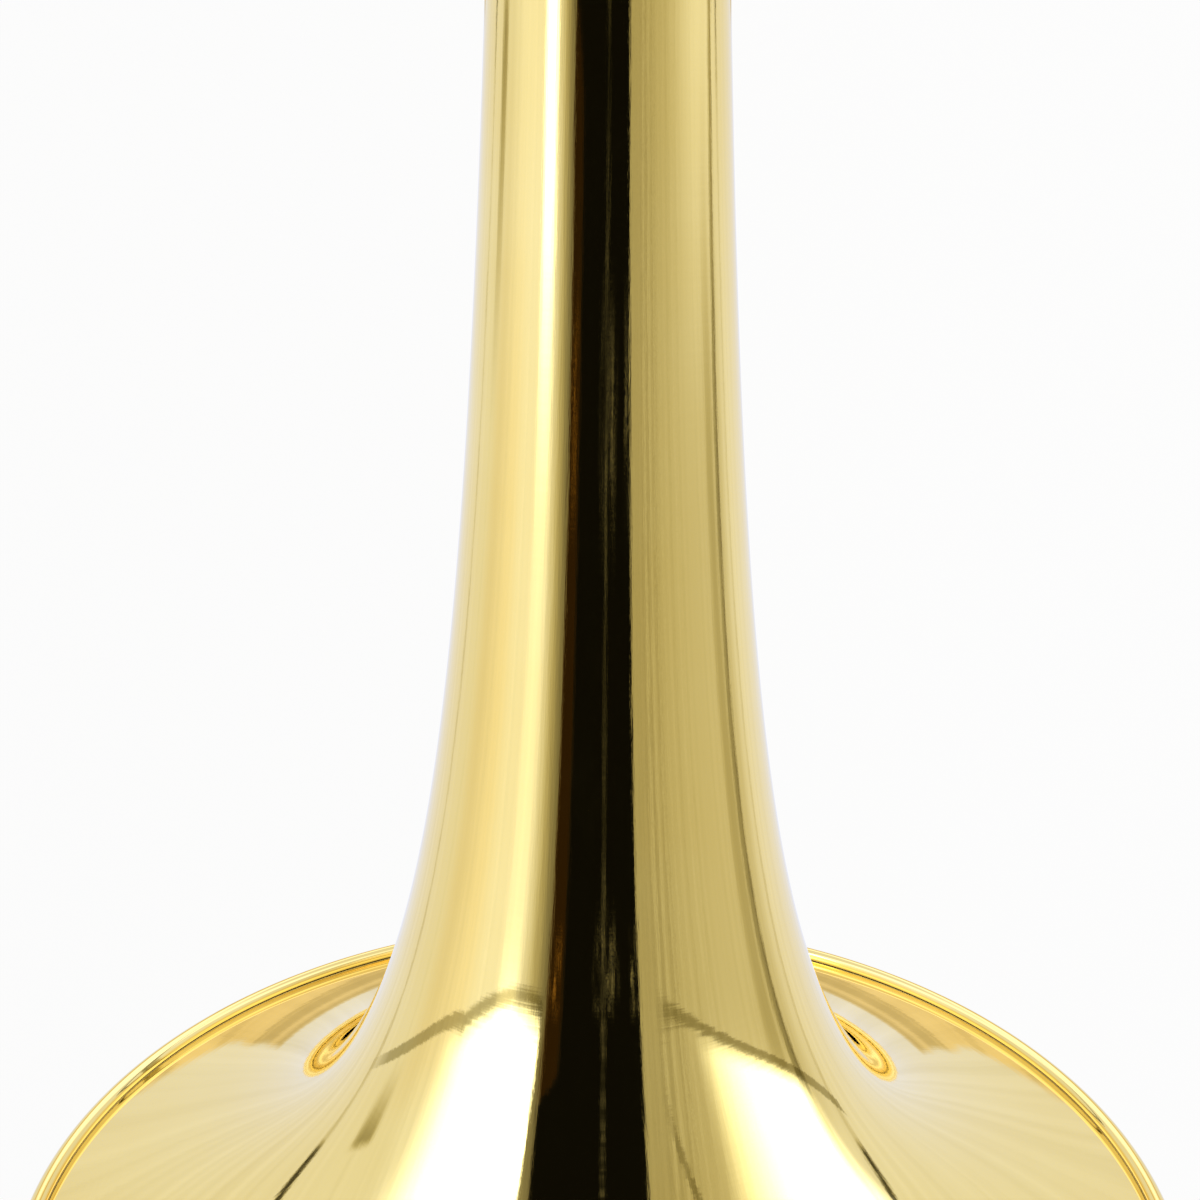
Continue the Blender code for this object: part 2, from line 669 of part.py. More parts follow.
def make_tuning_slide(body, brass, nickel):
    object_from("tuning_bow", swept_tube(tuning_bow_stations()), body, brass)
    neck = (0, NECK_OFFSET, LOWER_Z)
    bell = (0, BELL_Y, LOWER_Z)
    leg_rear = TUNING_BOW_FRONT + END_GAP
    object_from("tuning_leg_neck", tube(leg_rear, LEG_FRONT, NECK_BORE_REAR, NECK_LEG_RADIUS, neck), body, nickel)
    object_from("tuning_leg_bell", tube(leg_rear, LEG_FRONT, BELL_LEG_BORE, BELL_LEG_RADIUS, bell), body, nickel)
    ferrule_front = TUNING_SLEEVE_REAR - END_GAP
    object_from("tuning_ferrule_neck", stepped_ferrule(
        ferrule_front, leg_rear, TUNING_FERRULE_REAR, NECK_LEG_RADIUS, NECK_OUTER_REAR,
        FERRULE_WALL, neck), body, nickel)
    object_from("tuning_ferrule_bell", stepped_ferrule(
        ferrule_front, leg_rear, TUNING_FERRULE_REAR, BELL_LEG_RADIUS, BELL_LEG_BORE + TUBE_WALL,
        FERRULE_WALL, bell), body, nickel)
    neck_tool = leg_cutter("tuning_brace_neck_tool", TUNING_BRACE_X, NECK_OFFSET, NECK_OUTER_REAR, body)
    bell_tool = leg_cutter("tuning_brace_bell_tool", TUNING_BRACE_X, BELL_Y, BELL_LEG_BORE + TUBE_WALL, body)
    cross_brace("tuning_brace", TUNING_BRACE_X, BELL_LEG_BORE + TUBE_WALL, NECK_OUTER_REAR,
                (neck_tool, bell_tool), body, nickel)


# Inner slide

def leg_sign(name):
    return 1 if name == "upper" else -1


def brace_socket(name, x, leg, seat_radius, width, body, material):
    """A ring on a leg of the slide with a boss that the brace rod goes into."""
    sign = leg_sign(leg)
    axis_point = (x, 0, sign * UPPER_Z)
    ring_radius = seat_radius + SEAT_GAP + RING_WALL
    floor = ring_radius + SOCKET_FLOOR
    bore = BRACE_ROD_RADIUS + SEAT_GAP
    boss = turned([
        (ring_radius * 0.6, BOSS_RADIUS + 0.6),
        (ring_radius + 1.5, BOSS_RADIUS + 0.6),
        (ring_radius + 2.5, BOSS_RADIUS),
        (BOSS_REACH, BOSS_RADIUS),
        (BOSS_REACH, bore),
        (floor, bore),
    ], axis_point, (0, 0, -sign), TUBE_SIDES, closed=False)
    socket = object_from(name, boss, body, material)
    ring = tool_from(f"{name}_ring_tool", turned([
        (-width / 2, ring_radius - 0.4), (-width / 2 + 1.0, ring_radius),
        (width / 2 - 1.0, ring_radius), (width / 2, ring_radius - 0.4),
    ], axis_point, closed=False), body)
    seat = tool_from(f"{name}_seat_tool", rod(-width, width, seat_radius + SEAT_GAP, axis_point,
                                              X_AXIS, TUBE_SIDES), body)
    join(socket, ring)
    return cut(socket, seat)


def brace_rod(name, x, seat_radius, body, material):
    """The rod ends a seat gap short of the floors of its two sockets."""
    half = UPPER_Z - (seat_radius + SEAT_GAP + RING_WALL + SOCKET_FLOOR + SEAT_GAP)
    waist = BRACE_ROD_RADIUS - 0.5
    grip = UPPER_Z - BOSS_REACH - 1.0
    solid = turned([
        (-half, BRACE_ROD_RADIUS), (-grip, BRACE_ROD_RADIUS), (-grip + 4.0, waist),
        (grip - 4.0, waist), (grip, BRACE_ROD_RADIUS), (half, BRACE_ROD_RADIUS),
    ], (x, 0, 0), Z_AXIS, ROD_SIDES, closed=False)
    return object_from(name, solid, body, material)


def inner_tube(rear):
    stocking = INNER_TUBE_END - STOCKING_LENGTH
    return [
        (rear, BORE_RADIUS), (rear, INNER_RADIUS), (stocking, INNER_RADIUS),
        (stocking + 1.0, STOCKING_RADIUS), (INNER_TUBE_END, STOCKING_RADIUS), (INNER_TUBE_END, BORE_RADIUS),
    ]


def cork_barrel(lock_beads):
    """A cup round the end of the outer slide. The lower one carries the beads that hold the lock ring."""
    bore = INNER_RADIUS + SLIDE_GAP
    lip = BARREL_END - LIP_WIDTH
    profile = [
        (BARREL_START, bore), (BARREL_START, BARREL_RADIUS - 0.5), (BARREL_START + 0.8, BARREL_RADIUS),
    ]
    if lock_beads:
        bead_front = LOCK_RING_REAR - LOCK_RING_GAP
        bead_rear = bead_front - LOCK_BEAD_WIDTH
        profile += [
            (bead_rear, BARREL_RADIUS), (bead_rear, LIP_RADIUS), (bead_front, LIP_RADIUS),
            (bead_front, BARREL_RADIUS),
        ]
    profile += [
        (lip, BARREL_RADIUS), (lip, LIP_RADIUS), (BARREL_END, LIP_RADIUS), (BARREL_END, BARREL_BORE),
        (BARREL_START + BARREL_FLOOR, BARREL_BORE), (BARREL_START + BARREL_FLOOR, bore),
    ]
    return profile


def socket_radius(x):
    """Inside of the mouthpiece receiver, which follows the shank with its small gap."""
    return SHANK_END_RADIUS + SHANK_TAPER * (SHANK_END_X - x) + SHANK_GAP


def mouthpiece_receiver():
    ring = RECEIVER_RADIUS + MOUTH_RING_STEP
    ring_front = RECEIVER_REAR + MOUTH_RING_WIDTH
    tube_seat = INNER_RADIUS + SLIDE_GAP
    socket_end = SHANK_END_X + SEAT_GAP
    seat_rear = LEADPIPE_REAR - LEADPIPE_END_GAP
    return [
        (RECEIVER_REAR, socket_radius(RECEIVER_REAR)), (RECEIVER_REAR, ring - 0.5),
        (RECEIVER_REAR + 0.8, ring), (ring_front, ring), (ring_front + 2.5, RECEIVER_RADIUS),
        (RECEIVER_FRONT, RECEIVER_RADIUS), (RECEIVER_FRONT, tube_seat), (seat_rear, tube_seat),
        (seat_rear, socket_radius(socket_end)), (socket_end, socket_radius(socket_end)),
    ]


def slide_tenon():
    tube_seat = INNER_RADIUS + SLIDE_GAP
    seat_rear = LOWER_TUBE_REAR - SEAT_GAP
    collar_rear = COLLAR_FRONT - COLLAR_WIDTH
    return [
        (TENON_REAR, BORE_RADIUS), (TENON_REAR, TENON_TIP_RADIUS), (TENON_ROOT_X, TENON_ROOT_RADIUS),
        (collar_rear, TENON_ROOT_RADIUS), (collar_rear, COLLAR_RADIUS), (COLLAR_FRONT, COLLAR_RADIUS),
        (COLLAR_FRONT, TENON_BODY_RADIUS), (RECEIVER_FRONT, TENON_BODY_RADIUS), (RECEIVER_FRONT, tube_seat),
        (seat_rear, tube_seat), (seat_rear, BORE_RADIUS),
    ]


def leadpipe():
    radius = BORE_RADIUS - LEADPIPE_GAP
    front = LEADPIPE_REAR + LEADPIPE_LENGTH
    throat = LEADPIPE_REAR + 0.25 * LEADPIPE_LENGTH
    return [
        (LEADPIPE_REAR, SHANK_END_RADIUS), (LEADPIPE_REAR, radius), (front, radius),
        (front, radius - LEADPIPE_WALL), (throat, LEADPIPE_VENTURI),
    ]


def make_inner_slide(body, brass, nickel, chrome, felt):
    upper = (0, 0, UPPER_Z)
    lower = (0, 0, LOWER_Z)
    object_from("inner_tube_upper", turned(inner_tube(UPPER_TUBE_REAR), upper), body, chrome)
    object_from("inner_tube_lower", turned(inner_tube(LOWER_TUBE_REAR), lower), body, chrome)
    object_from("leadpipe", turned(leadpipe(), upper), body, brass)
    object_from("mouthpiece_receiver", turned(mouthpiece_receiver(), upper), body, nickel)
    object_from("slide_tenon", turned(slide_tenon(), lower), body, nickel)
    object_from("cork_barrel_upper", turned(cork_barrel(False), upper), body, nickel)
    object_from("cork_barrel_lower", turned(cork_barrel(True), lower), body, nickel)
    felt_start = BARREL_START + BARREL_FLOOR + SEAT_GAP
    felt_bore = INNER_RADIUS + SEAT_GAP
    for leg, place in (("upper", upper), ("lower", lower)):
        object_from(f"bumper_felt_{leg}", tube(felt_start, felt_start + BUMPER_LENGTH, felt_bore,
                                               felt_bore + BUMPER_WALL, place), body, felt)
    brace_socket("inner_brace_socket_upper", 0.0, "upper", RECEIVER_RADIUS, INNER_RING_WIDTH, body, nickel)
    brace_socket("inner_brace_socket_lower", 0.0, "lower", TENON_BODY_RADIUS, INNER_RING_WIDTH, body, nickel)
    brace_rod("inner_brace_rod", 0.0, RECEIVER_RADIUS, body, brass)


def make_lock_nut(body, nickel):
    """A cap nut. Its lip pulls on the tenon's collar, its thread runs on the neck receiver."""
    rear = NUT_FRONT - NUT_LENGTH
    lip_rear = COLLAR_FRONT + NUT_GAP
    lip_bore = TENON_BODY_RADIUS + SEAT_GAP
    profile = [
        (rear, NUT_BORE), (rear, NUT_RADIUS - 0.8), (rear + 1.5, NUT_RADIUS),
        (NUT_FRONT - 1.5, NUT_RADIUS), (NUT_FRONT, NUT_RADIUS - 1.2), (NUT_FRONT, lip_bore),
        (lip_rear, lip_bore), (lip_rear, NUT_BORE),
    ]
    object_from("bell_lock_nut", turned(profile, (0, 0, LOWER_Z)), body, nickel)


# Mouthpiece

def mouthpiece_profile():
    """Distances run forward from the rim. Outside first, then back through the bore to the cup."""
    land_inner = CUP_RADIUS + (RIM_WIDTH - RIM_LAND) / 2
    outer = CUP_RADIUS + RIM_WIDTH
    shank_start = 50.0
    outside = [
        (0.0, land_inner), (0.0, land_inner + RIM_LAND), (1.0, outer - 0.6), (3.0, outer),
        (8.0, outer - 0.4), (20.0, outer - 2.6), (28.0, outer - 5.0), (34.0, outer - 7.6), (43.0, 8.2),
        (46.0, 8.6), (48.0, 8.0), (shank_start, 7.6),
        (MOUTHPIECE_LENGTH - SHANK_INSERT - 0.5, shank_radius(MOUTHPIECE_LENGTH - SHANK_INSERT - 0.5)),
        (MOUTHPIECE_LENGTH, SHANK_END_RADIUS),
    ]
    bore = [(MOUTHPIECE_LENGTH, BACKBORE_RADIUS), (CUP_DEPTH + 12.0, THROAT_RADIUS), (CUP_DEPTH, THROAT_RADIUS)]
    cup = []
    steps = 6
    for k in range(1, steps + 1):
        t = k / steps
        depth = CUP_DEPTH * (1 - t) + 1.2 * t
        bowl = math.sqrt(max(0.0, 1 - (depth / CUP_DEPTH) ** 1.7))
        cup.append((depth, lerp(THROAT_RADIUS, CUP_RADIUS, bowl)))
    points = outside + bore + cup
    return [(MOUTHPIECE_RIM_X + u, r) for u, r in points]


def shank_radius(distance):
    return SHANK_END_RADIUS + SHANK_TAPER * (MOUTHPIECE_LENGTH - distance)


def make_mouthpiece(body, silver):
    object_from("mouthpiece", turned(mouthpiece_profile(), (0, 0, UPPER_Z)), body, silver)


# Outer slide

def bow_frame(angle):
    """Centre line of the end bow at an angle in degrees from its lower leg, and the way out of the bend."""
    turn = math.radians(angle)
    out = Vector((math.sin(turn), 0, -math.cos(turn)))
    return Vector((BOW_CENTRE_X, 0, 0)) + out * BOW_BEND, out


def make_slide_bow(body, brass):
    across = Vector(Y_AXIS)
    stations = [(Vector((BOW_START, 0, LOWER_Z)), Vector((0, 0, -1)), across, BOW_BORE, BOW_RADIUS)]
    for k in range(BOW_STEPS + 1):
        centre, out = bow_frame(180.0 * k / BOW_STEPS)
        stations.append((centre, out, across, BOW_BORE, BOW_RADIUS))
    stations.append((Vector((BOW_START, 0, UPPER_Z)), Vector((0, 0, 1)), across, BOW_BORE, BOW_RADIUS))
    bow = object_from("slide_bow", swept_tube(stations), body, brass)
    centre, out = bow_frame(KEY_ANGLE)
    drill = tool_from("water_hole_tool", rod(BOW_BORE - TOOL_MARGIN, BOW_RADIUS + TOOL_MARGIN, NIPPLE_BORE, centre, out, 10), body)
    return cut(bow, drill)


def bow_skin_tool(name, first, last, radius, body):
    """A solid length of the end bow, grown to a radius, for cutting what sits on it."""
    steps = 8
    rings = []
    for k in range(steps + 1):
        centre, out = bow_frame(lerp(first, last, k / steps))
        rings.append(ring_points(centre, out, Vector(Y_AXIS), radius, BOW_SIDES))
    return tool_from(name, skin(rings, closed=False), body)


def make_bow_guard(body, nickel):
    """A strip round the outside of the bend, which takes the knocks."""
    steps = 6
    wrap_steps = 8
    rings = []
    for k in range(steps + 1):
        centre, out = bow_frame(90.0 + GUARD_HALF_ANGLE * (2 * k / steps - 1))
        ring = []
        for radius, order in ((GUARD_RADIUS, range(wrap_steps + 1)), (GUARD_BORE, range(wrap_steps, -1, -1))):
            for n in order:
                angle = math.radians(GUARD_WRAP * (2 * n / wrap_steps - 1))
                side = Vector(Y_AXIS) * math.sin(angle)
                ring.append(centre + radius * (math.cos(angle) * out + side))
        rings.append(ring)
    object_from("bow_guard", skin(rings, closed=False), body, nickel)


def make_bumper(body, nickel, rubber):
    tip = BOW_CENTRE_X + BOW_BEND + GUARD_RADIUS + SEAT_GAP
    holder_end = tip + HOLDER_LENGTH
    floor = tip + HOLDER_FLOOR
    holder = object_from("bumper_holder", turned([
        (tip - TOOL_MARGIN, HOLDER_RADIUS), (holder_end - 0.8, HOLDER_RADIUS), (holder_end, HOLDER_RADIUS - 0.6),
        (holder_end, HOLDER_SOCKET_RADIUS), (floor, HOLDER_SOCKET_RADIUS),
    ], closed=False), body, nickel)
    cut(holder, bow_skin_tool("bumper_holder_tool", 78.0, 102.0, GUARD_RADIUS + SEAT_GAP, body))
    stem = HOLDER_SOCKET_RADIUS - SEAT_GAP
    face = holder_end + BUMPER_TIP_LENGTH
    object_from("rubber_bumper", turned([
        (floor + SEAT_GAP, stem), (holder_end + SEAT_GAP, stem), (holder_end + SEAT_GAP, BUMPER_TIP_RADIUS - 0.8),
        (holder_end + 2.0, BUMPER_TIP_RADIUS), (face - 2.5, BUMPER_TIP_RADIUS - 0.4),
        (face - 0.8, BUMPER_FACE_RADIUS + 0.9), (face, BUMPER_FACE_RADIUS),
    ], closed=False), body, rubber)


def make_outer_slide(body, brass, nickel, rubber):
    sleeve_end = SLEEVE_START + SLEEVE_LENGTH
    for leg in ("upper", "lower"):
        place = (0, 0, leg_sign(leg) * UPPER_Z)
        object_from(f"outer_tube_{leg}", tube(OUTER_TUBE_START, OUTER_TUBE_END, OUTER_BORE, OUTER_RADIUS,
                                              place), body, brass)
        object_from(f"outer_sleeve_{leg}", turned([
            (SLEEVE_START, SLEEVE_BORE), (SLEEVE_START, SLEEVE_RADIUS), (sleeve_end - 2.0, SLEEVE_RADIUS),
            (sleeve_end, SLEEVE_BORE + 0.15), (sleeve_end, SLEEVE_BORE),
        ], place), body, nickel)
        brace_socket(f"hand_brace_socket_{leg}", HAND_BRACE_X, leg, SLEEVE_RADIUS, OUTER_RING_WIDTH, body, nickel)
        object_from(f"bow_ferrule_{leg}", stepped_ferrule(
            BOW_START + BOW_FERRULE_FRONT, OUTER_TUBE_END, OUTER_TUBE_END - BOW_FERRULE_BACK,
            BOW_RADIUS, OUTER_RADIUS, BOW_FERRULE_RADIUS - OUTER_RADIUS - SEAT_GAP, place), body, nickel)
    brace_rod("hand_brace_rod", HAND_BRACE_X, SLEEVE_RADIUS, body, brass)
    make_slide_bow(body, brass)
    make_bow_guard(body, nickel)
    make_bumper(body, nickel, rubber)
    lug = sector(LUG_START, LUG_START + LUG_WIDTH, SLEEVE_RADIUS + SEAT_GAP, LUG_RADIUS,
                 LUG_DIRECTION - LUG_HALF_ANGLE, LUG_DIRECTION + LUG_HALF_ANGLE, (0, 0, LOWER_Z))
    object_from("lock_lug", lug, body, nickel)


# Water key

def key_hub_end():
    """How far the hub reaches from the middle plane, past the spring wound on it."""
    return KEY_ARM_HALF_WIDTH + SEAT_GAP + SPRING_TURNS * SPRING_PITCH + 2 * SPRING_WIRE_RADIUS + KEY_RUNNING_GAP


def water_key_spring_points():
    """Two short legs and a coil round the hub. The coil climbs away from the arm."""
    radius = KEY_HUB_RADIUS + KEY_RUNNING_GAP + SPRING_WIRE_RADIUS
    start_y = KEY_ARM_HALF_WIDTH + SEAT_GAP + SPRING_WIRE_RADIUS
    pivot = Vector((KEY_PIVOT_X, 0, KEY_PIVOT_Z))
    count = SPRING_TURNS * SPRING_POINTS_PER_TURN
    coil = []
    for k in range(count + 1):
        turn = math.pi / 2 + 2 * math.pi * k / SPRING_POINTS_PER_TURN
        y = start_y + SPRING_PITCH * k / SPRING_POINTS_PER_TURN
        coil.append(pivot + Vector((radius * math.cos(turn), y, radius * math.sin(turn))))
    first = coil[0] + Vector((SPRING_LEG, 0, 0))
    last = coil[-1] + Vector((-SPRING_LEG, 0, 0))
    return [first] + coil + [last]


def wound_tube(points, radius, sides):
    """A round wire through points, with its rings carried along so that they don't twist."""
    rings = []
    across = Vector(Y_AXIS)
    for k, point in enumerate(points):
        before = points[max(k - 1, 0)]
        after = points[min(k + 1, len(points) - 1)]
        along = (after - before).normalized()
        across = (across - along * across.dot(along)).normalized()
        rings.append(ring_points(point, across, along.cross(across), radius, sides))
    return skin(rings, closed=False)


def least_coil_gap():
    """Smallest space between neighbouring turns of the spring, measured on its points."""
    coil = water_key_spring_points()[1:-1]
    nearest = min((coil[k] - coil[k + SPRING_POINTS_PER_TURN]).length
                  for k in range(len(coil) - SPRING_POINTS_PER_TURN))
    return nearest - 2 * SPRING_WIRE_RADIUS


def make_key_fixings(body, nickel, steel):
    """Nipple, saddle, screw and spring, which stay on the outer slide."""
    centre, out = bow_frame(KEY_ANGLE)
    top = BOW_RADIUS + NIPPLE_HEIGHT
    nipple = object_from("water_key_nipple", turned([
        (BOW_RADIUS - TOOL_MARGIN, NIPPLE_BORE), (BOW_RADIUS - TOOL_MARGIN, NIPPLE_RADIUS + 0.8),
        (BOW_RADIUS + 0.8, NIPPLE_RADIUS + 0.8), (BOW_RADIUS + 1.6, NIPPLE_RADIUS - 0.3),
        (top, NIPPLE_RADIUS - 0.5), (top, NIPPLE_BORE),
    ], centre, out, ROD_SIDES), body, nickel)
    cut(nipple, bow_skin_tool("nipple_tool", KEY_ANGLE - 12.0, KEY_ANGLE + 12.0, BOW_RADIUS + SEAT_GAP, body))

    ear_low = KEY_ARM_HALF_WIDTH + SEAT_GAP
    ear_high = key_hub_end() + SEAT_GAP
    wide_low = ear_low + SADDLE_EAR_WIDTH
    wide_high = ear_high + SADDLE_EAR_WIDTH
    base_top = LOWER_Z - BOW_FERRULE_RADIUS + 4.0
    base_low = LOWER_Z - BOW_FERRULE_RADIUS - 2.0
    ear_end = KEY_PIVOT_Z - KEY_HUB_RADIUS - 0.5
    saddle = object_from("water_key_saddle", straight_block(
        (KEY_PIVOT_X - SADDLE_HALF_LENGTH, -wide_low, ear_end),
        (KEY_PIVOT_X + SADDLE_HALF_LENGTH, wide_high, base_top)), body, nickel)
    slot = tool_from("saddle_slot_tool", straight_block(
        (KEY_PIVOT_X - SADDLE_HALF_LENGTH - 1.0, -ear_low, ear_end - 1.0),
        (KEY_PIVOT_X + SADDLE_HALF_LENGTH + 1.0, ear_high, base_low)), body)
    pivot = (KEY_PIVOT_X, 0, KEY_PIVOT_Z)
    screw_hole = tool_from("saddle_hole_tool", rod(
        -wide_low - 1.0, wide_high + 1.0, KEY_SCREW_RADIUS + SLIDE_GAP, pivot, Y_AXIS), body)
    seat = tool_from("saddle_seat_tool", rod(
        KEY_PIVOT_X - 8.0, KEY_PIVOT_X + 8.0, BOW_FERRULE_RADIUS + SEAT_GAP, (0, 0, LOWER_Z),
        X_AXIS, TUBE_SIDES), body)
    cut(saddle, slot, screw_hole, seat)
    head = wide_high + SEAT_GAP
    object_from("water_key_screw", turned([
        (-wide_low - 0.4, KEY_SCREW_RADIUS), (head, KEY_SCREW_RADIUS), (head, SCREW_HEAD_RADIUS),
        (head + SCREW_HEAD_HEIGHT, SCREW_HEAD_RADIUS - 0.2),
    ], pivot, Y_AXIS, ROD_SIDES, closed=False), body, steel)
    object_from("water_key_spring", wound_tube(water_key_spring_points(), SPRING_WIRE_RADIUS, 6), body, steel)
    print(f"water key spring: least gap between turns {least_coil_gap():.2f} mm")


def key_side_outline(cup_place):
    """Side view of the lever: a bar from the cup plate over the hub to the finger touch."""
    pivot = Vector((KEY_PIVOT_X, 0, KEY_PIVOT_Z))
    touch = pivot + Vector((-KEY_TOUCH_REACH, 0, -KEY_TOUCH_DROP))
    half = KEY_ARM_THICKNESS / 2
    to_cup = (cup_place - pivot).normalized()
    to_touch = (touch - pivot).normalized()
    cup_side = Vector((-to_cup.z, 0, to_cup.x)) * half
    touch_side = Vector((-to_touch.z, 0, to_touch.x)) * half
    outline = [cup_place - cup_side, cup_place + cup_side]
    start = math.atan2(to_cup.z, to_cup.x)
    end = math.atan2(to_touch.z, to_touch.x) % (2 * math.pi)
    spread = math.asin(half / KEY_HUB_RADIUS)
    upper_arc = [lerp(start + spread, end - spread, k / 5) for k in range(6)]
    lower_arc = [lerp(end + spread, start - spread + 2 * math.pi, k / 5) for k in range(6)]
    hub = [pivot + KEY_HUB_RADIUS * Vector((math.cos(a), 0, math.sin(a))) for a in upper_arc]
    under = [pivot + KEY_HUB_RADIUS * Vector((math.cos(a), 0, math.sin(a))) for a in lower_arc]
    outline += hub + [touch - touch_side, touch + touch_side] + under
    return outline, touch


def make_water_key(body, nickel, cork_material):
    centre, out = bow_frame(KEY_ANGLE)
    cork_start = BOW_RADIUS + NIPPLE_HEIGHT + SEAT_GAP
    cork_end = cork_start + CORK_THICKNESS
    object_from("water_key_cork", turned([
        (cork_start, CORK_RADIUS), (cork_end, CORK_RADIUS),
    ], centre, out, ROD_SIDES, closed=False), body, cork_material)
    plate_start = cork_end - 1.2
    floor = cork_end + SEAT_GAP
    plate_end = floor + CUP_PLATE_THICKNESS
    cup_place = centre + out * (floor + CUP_PLATE_THICKNESS / 2)
    outline, touch = key_side_outline(cup_place)
    width = Vector((0, KEY_ARM_HALF_WIDTH, 0))
    bar = skin([[p - width for p in outline], [p + width for p in outline]], closed=False)
    lever = object_from("water_key_lever", bar, body, nickel)
    cup = tool_from("key_cup_tool", turned([
        (plate_end, CUP_PLATE_RADIUS - 0.8), (floor, CUP_PLATE_RADIUS), (plate_start, CUP_PLATE_RADIUS),
        (plate_start, CORK_RADIUS + SEAT_GAP), (floor, CORK_RADIUS + SEAT_GAP),
    ], centre, out, ROD_SIDES, closed=False), body)
    pivot = (KEY_PIVOT_X, 0, KEY_PIVOT_Z)
    hub = tool_from("key_hub_tool", rod(-KEY_ARM_HALF_WIDTH + 0.1, key_hub_end(), KEY_HUB_RADIUS - 0.05,
                                        pivot, Y_AXIS), body)
    pad_tilt = Vector((-KEY_TOUCH_DROP, 0, KEY_TOUCH_REACH)).normalized()
    pad = tool_from("key_touch_tool", turned([
        (-0.9, KEY_TOUCH_RADIUS - 0.6), (0.0, KEY_TOUCH_RADIUS), (0.9, KEY_TOUCH_RADIUS - 0.4),
    ], touch, pad_tilt, TUBE_SIDES, closed=False), body)
    bore = tool_from("key_bore_tool", rod(-KEY_ARM_HALF_WIDTH - 1.0, key_hub_end() + 1.0,
                                          KEY_SCREW_RADIUS + KEY_RUNNING_GAP, pivot, Y_AXIS), body)
    cork_space = tool_from("key_cork_tool", rod(cork_start - 1.0, floor, CORK_RADIUS + SEAT_GAP, centre,
                                                out), body)
    join(lever, cup, hub, pad)
    cut(lever, bore, cork_space)


# Slide lock

def make_slide_lock(body, nickel):
    leg = (0, 0, LOWER_Z)
    ring = object_from("slide_lock_ring", tube(LOCK_RING_REAR, LOCK_RING_FRONT, LOCK_RING_BORE,
                                               LOCK_RING_RADIUS, leg), body, nickel)
    arm_start = LUG_DIRECTION - LUG_HALF_ANGLE - LOCK_SIDE_CLEARANCE - HOOK_FINGER_ANGLE
    finger_start = LUG_START + LUG_WIDTH + HOOK_SPACE
    finger_end = finger_start + HOOK_FINGER_WIDTH
    under = LIP_RADIUS + LOCK_RING_GAP
    over = LOCK_RING_RADIUS - 0.2
    arm = tool_from("lock_arm_tool", sector(
        LOCK_RING_FRONT - 1.2, finger_end + 0.5, under, over, arm_start, arm_start + HOOK_ARM_ANGLE, leg), body)
    finger = tool_from("lock_finger_tool", sector(
        finger_start, finger_end, under + 0.1, over - 0.1, arm_start + 2.0,
        arm_start + HOOK_FINGER_ANGLE, leg, steps=6), body)
    join(ring, arm, finger)


def build():
    clear_scene()
    finish_of("tool", (0.5, 0.5, 0.5), 0.5, 0.0)
    brass = finish_of("lacquered_brass", (0.87, 0.62, 0.22), 0.12, 1.0)
    nickel = finish_of("nickel_silver", (0.76, 0.74, 0.66), 0.16, 1.0)
    chrome = finish_of("chrome_plate", (0.80, 0.81, 0.83), 0.06, 1.0)
    silver = finish_of("silver_plate", (0.86, 0.85, 0.81), 0.08, 1.0)
    steel = finish_of("spring_steel", (0.45, 0.46, 0.50), 0.30, 1.0)
    rubber = finish_of("black_rubber", (0.03, 0.03, 0.03), 0.75, 0.0)
    cork = finish_of("cork", (0.55, 0.36, 0.20), 0.85, 0.0)
    felt = finish_of("bumper_felt", (0.62, 0.60, 0.55), 0.95, 0.0)

    inner_slide = body_at("inner_slide_body", (0, 0, 0))
    bell_section = body_at("bell_section_body", (0, 0, LOWER_Z), inner_slide)
    tuning_slide = body_at("tuning_slide_body", (TUNING_SLEEVE_REAR, TUNING_CENTRE_Y, LOWER_Z), bell_section)
    lock_nut = body_at("bell_lock_nut_body", (TENON_ROOT_X, 0, LOWER_Z), inner_slide)
    mouthpiece = body_at("mouthpiece_body", (RECEIVER_REAR, 0, UPPER_Z), inner_slide)
    slide_lock = body_at("slide_lock_body", (LOCK_RING_REAR, 0, LOWER_Z), inner_slide)
    outer_slide = body_at("outer_slide_body", (HAND_BRACE_X, 0, 0), inner_slide)
    water_key = body_at("water_key_body", (KEY_PIVOT_X, 0, KEY_PIVOT_Z), outer_slide)

    make_inner_slide(inner_slide, brass, nickel, chrome, felt)
    make_bell_section(bell_section, brass, nickel, steel)
    make_tuning_slide(tuning_slide, brass, nickel)
    make_lock_nut(lock_nut, nickel)
    make_mouthpiece(mouthpiece, silver)
    make_slide_lock(slide_lock, nickel)
    make_outer_slide(outer_slide, brass, nickel, rubber)
    make_key_fixings(outer_slide, nickel, steel)
    make_water_key(water_key, nickel, cork)


build()
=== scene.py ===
# %% [markdown]
# # A tenor trombone in lacquered brass
# This lesson dresses a trombone for a close studio picture of its bell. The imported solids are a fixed
# frame: they say where every tube, ring and brace is. Here each one gets the fine, round surface and the
# finish of the real piece. Polished brass has almost no look of its own, it shows the room, so the studio
# is built with the same care as the metal.

# %% Load the frame
import math

import bmesh
import bpy
import numpy as np
from mathutils import Matrix, Vector


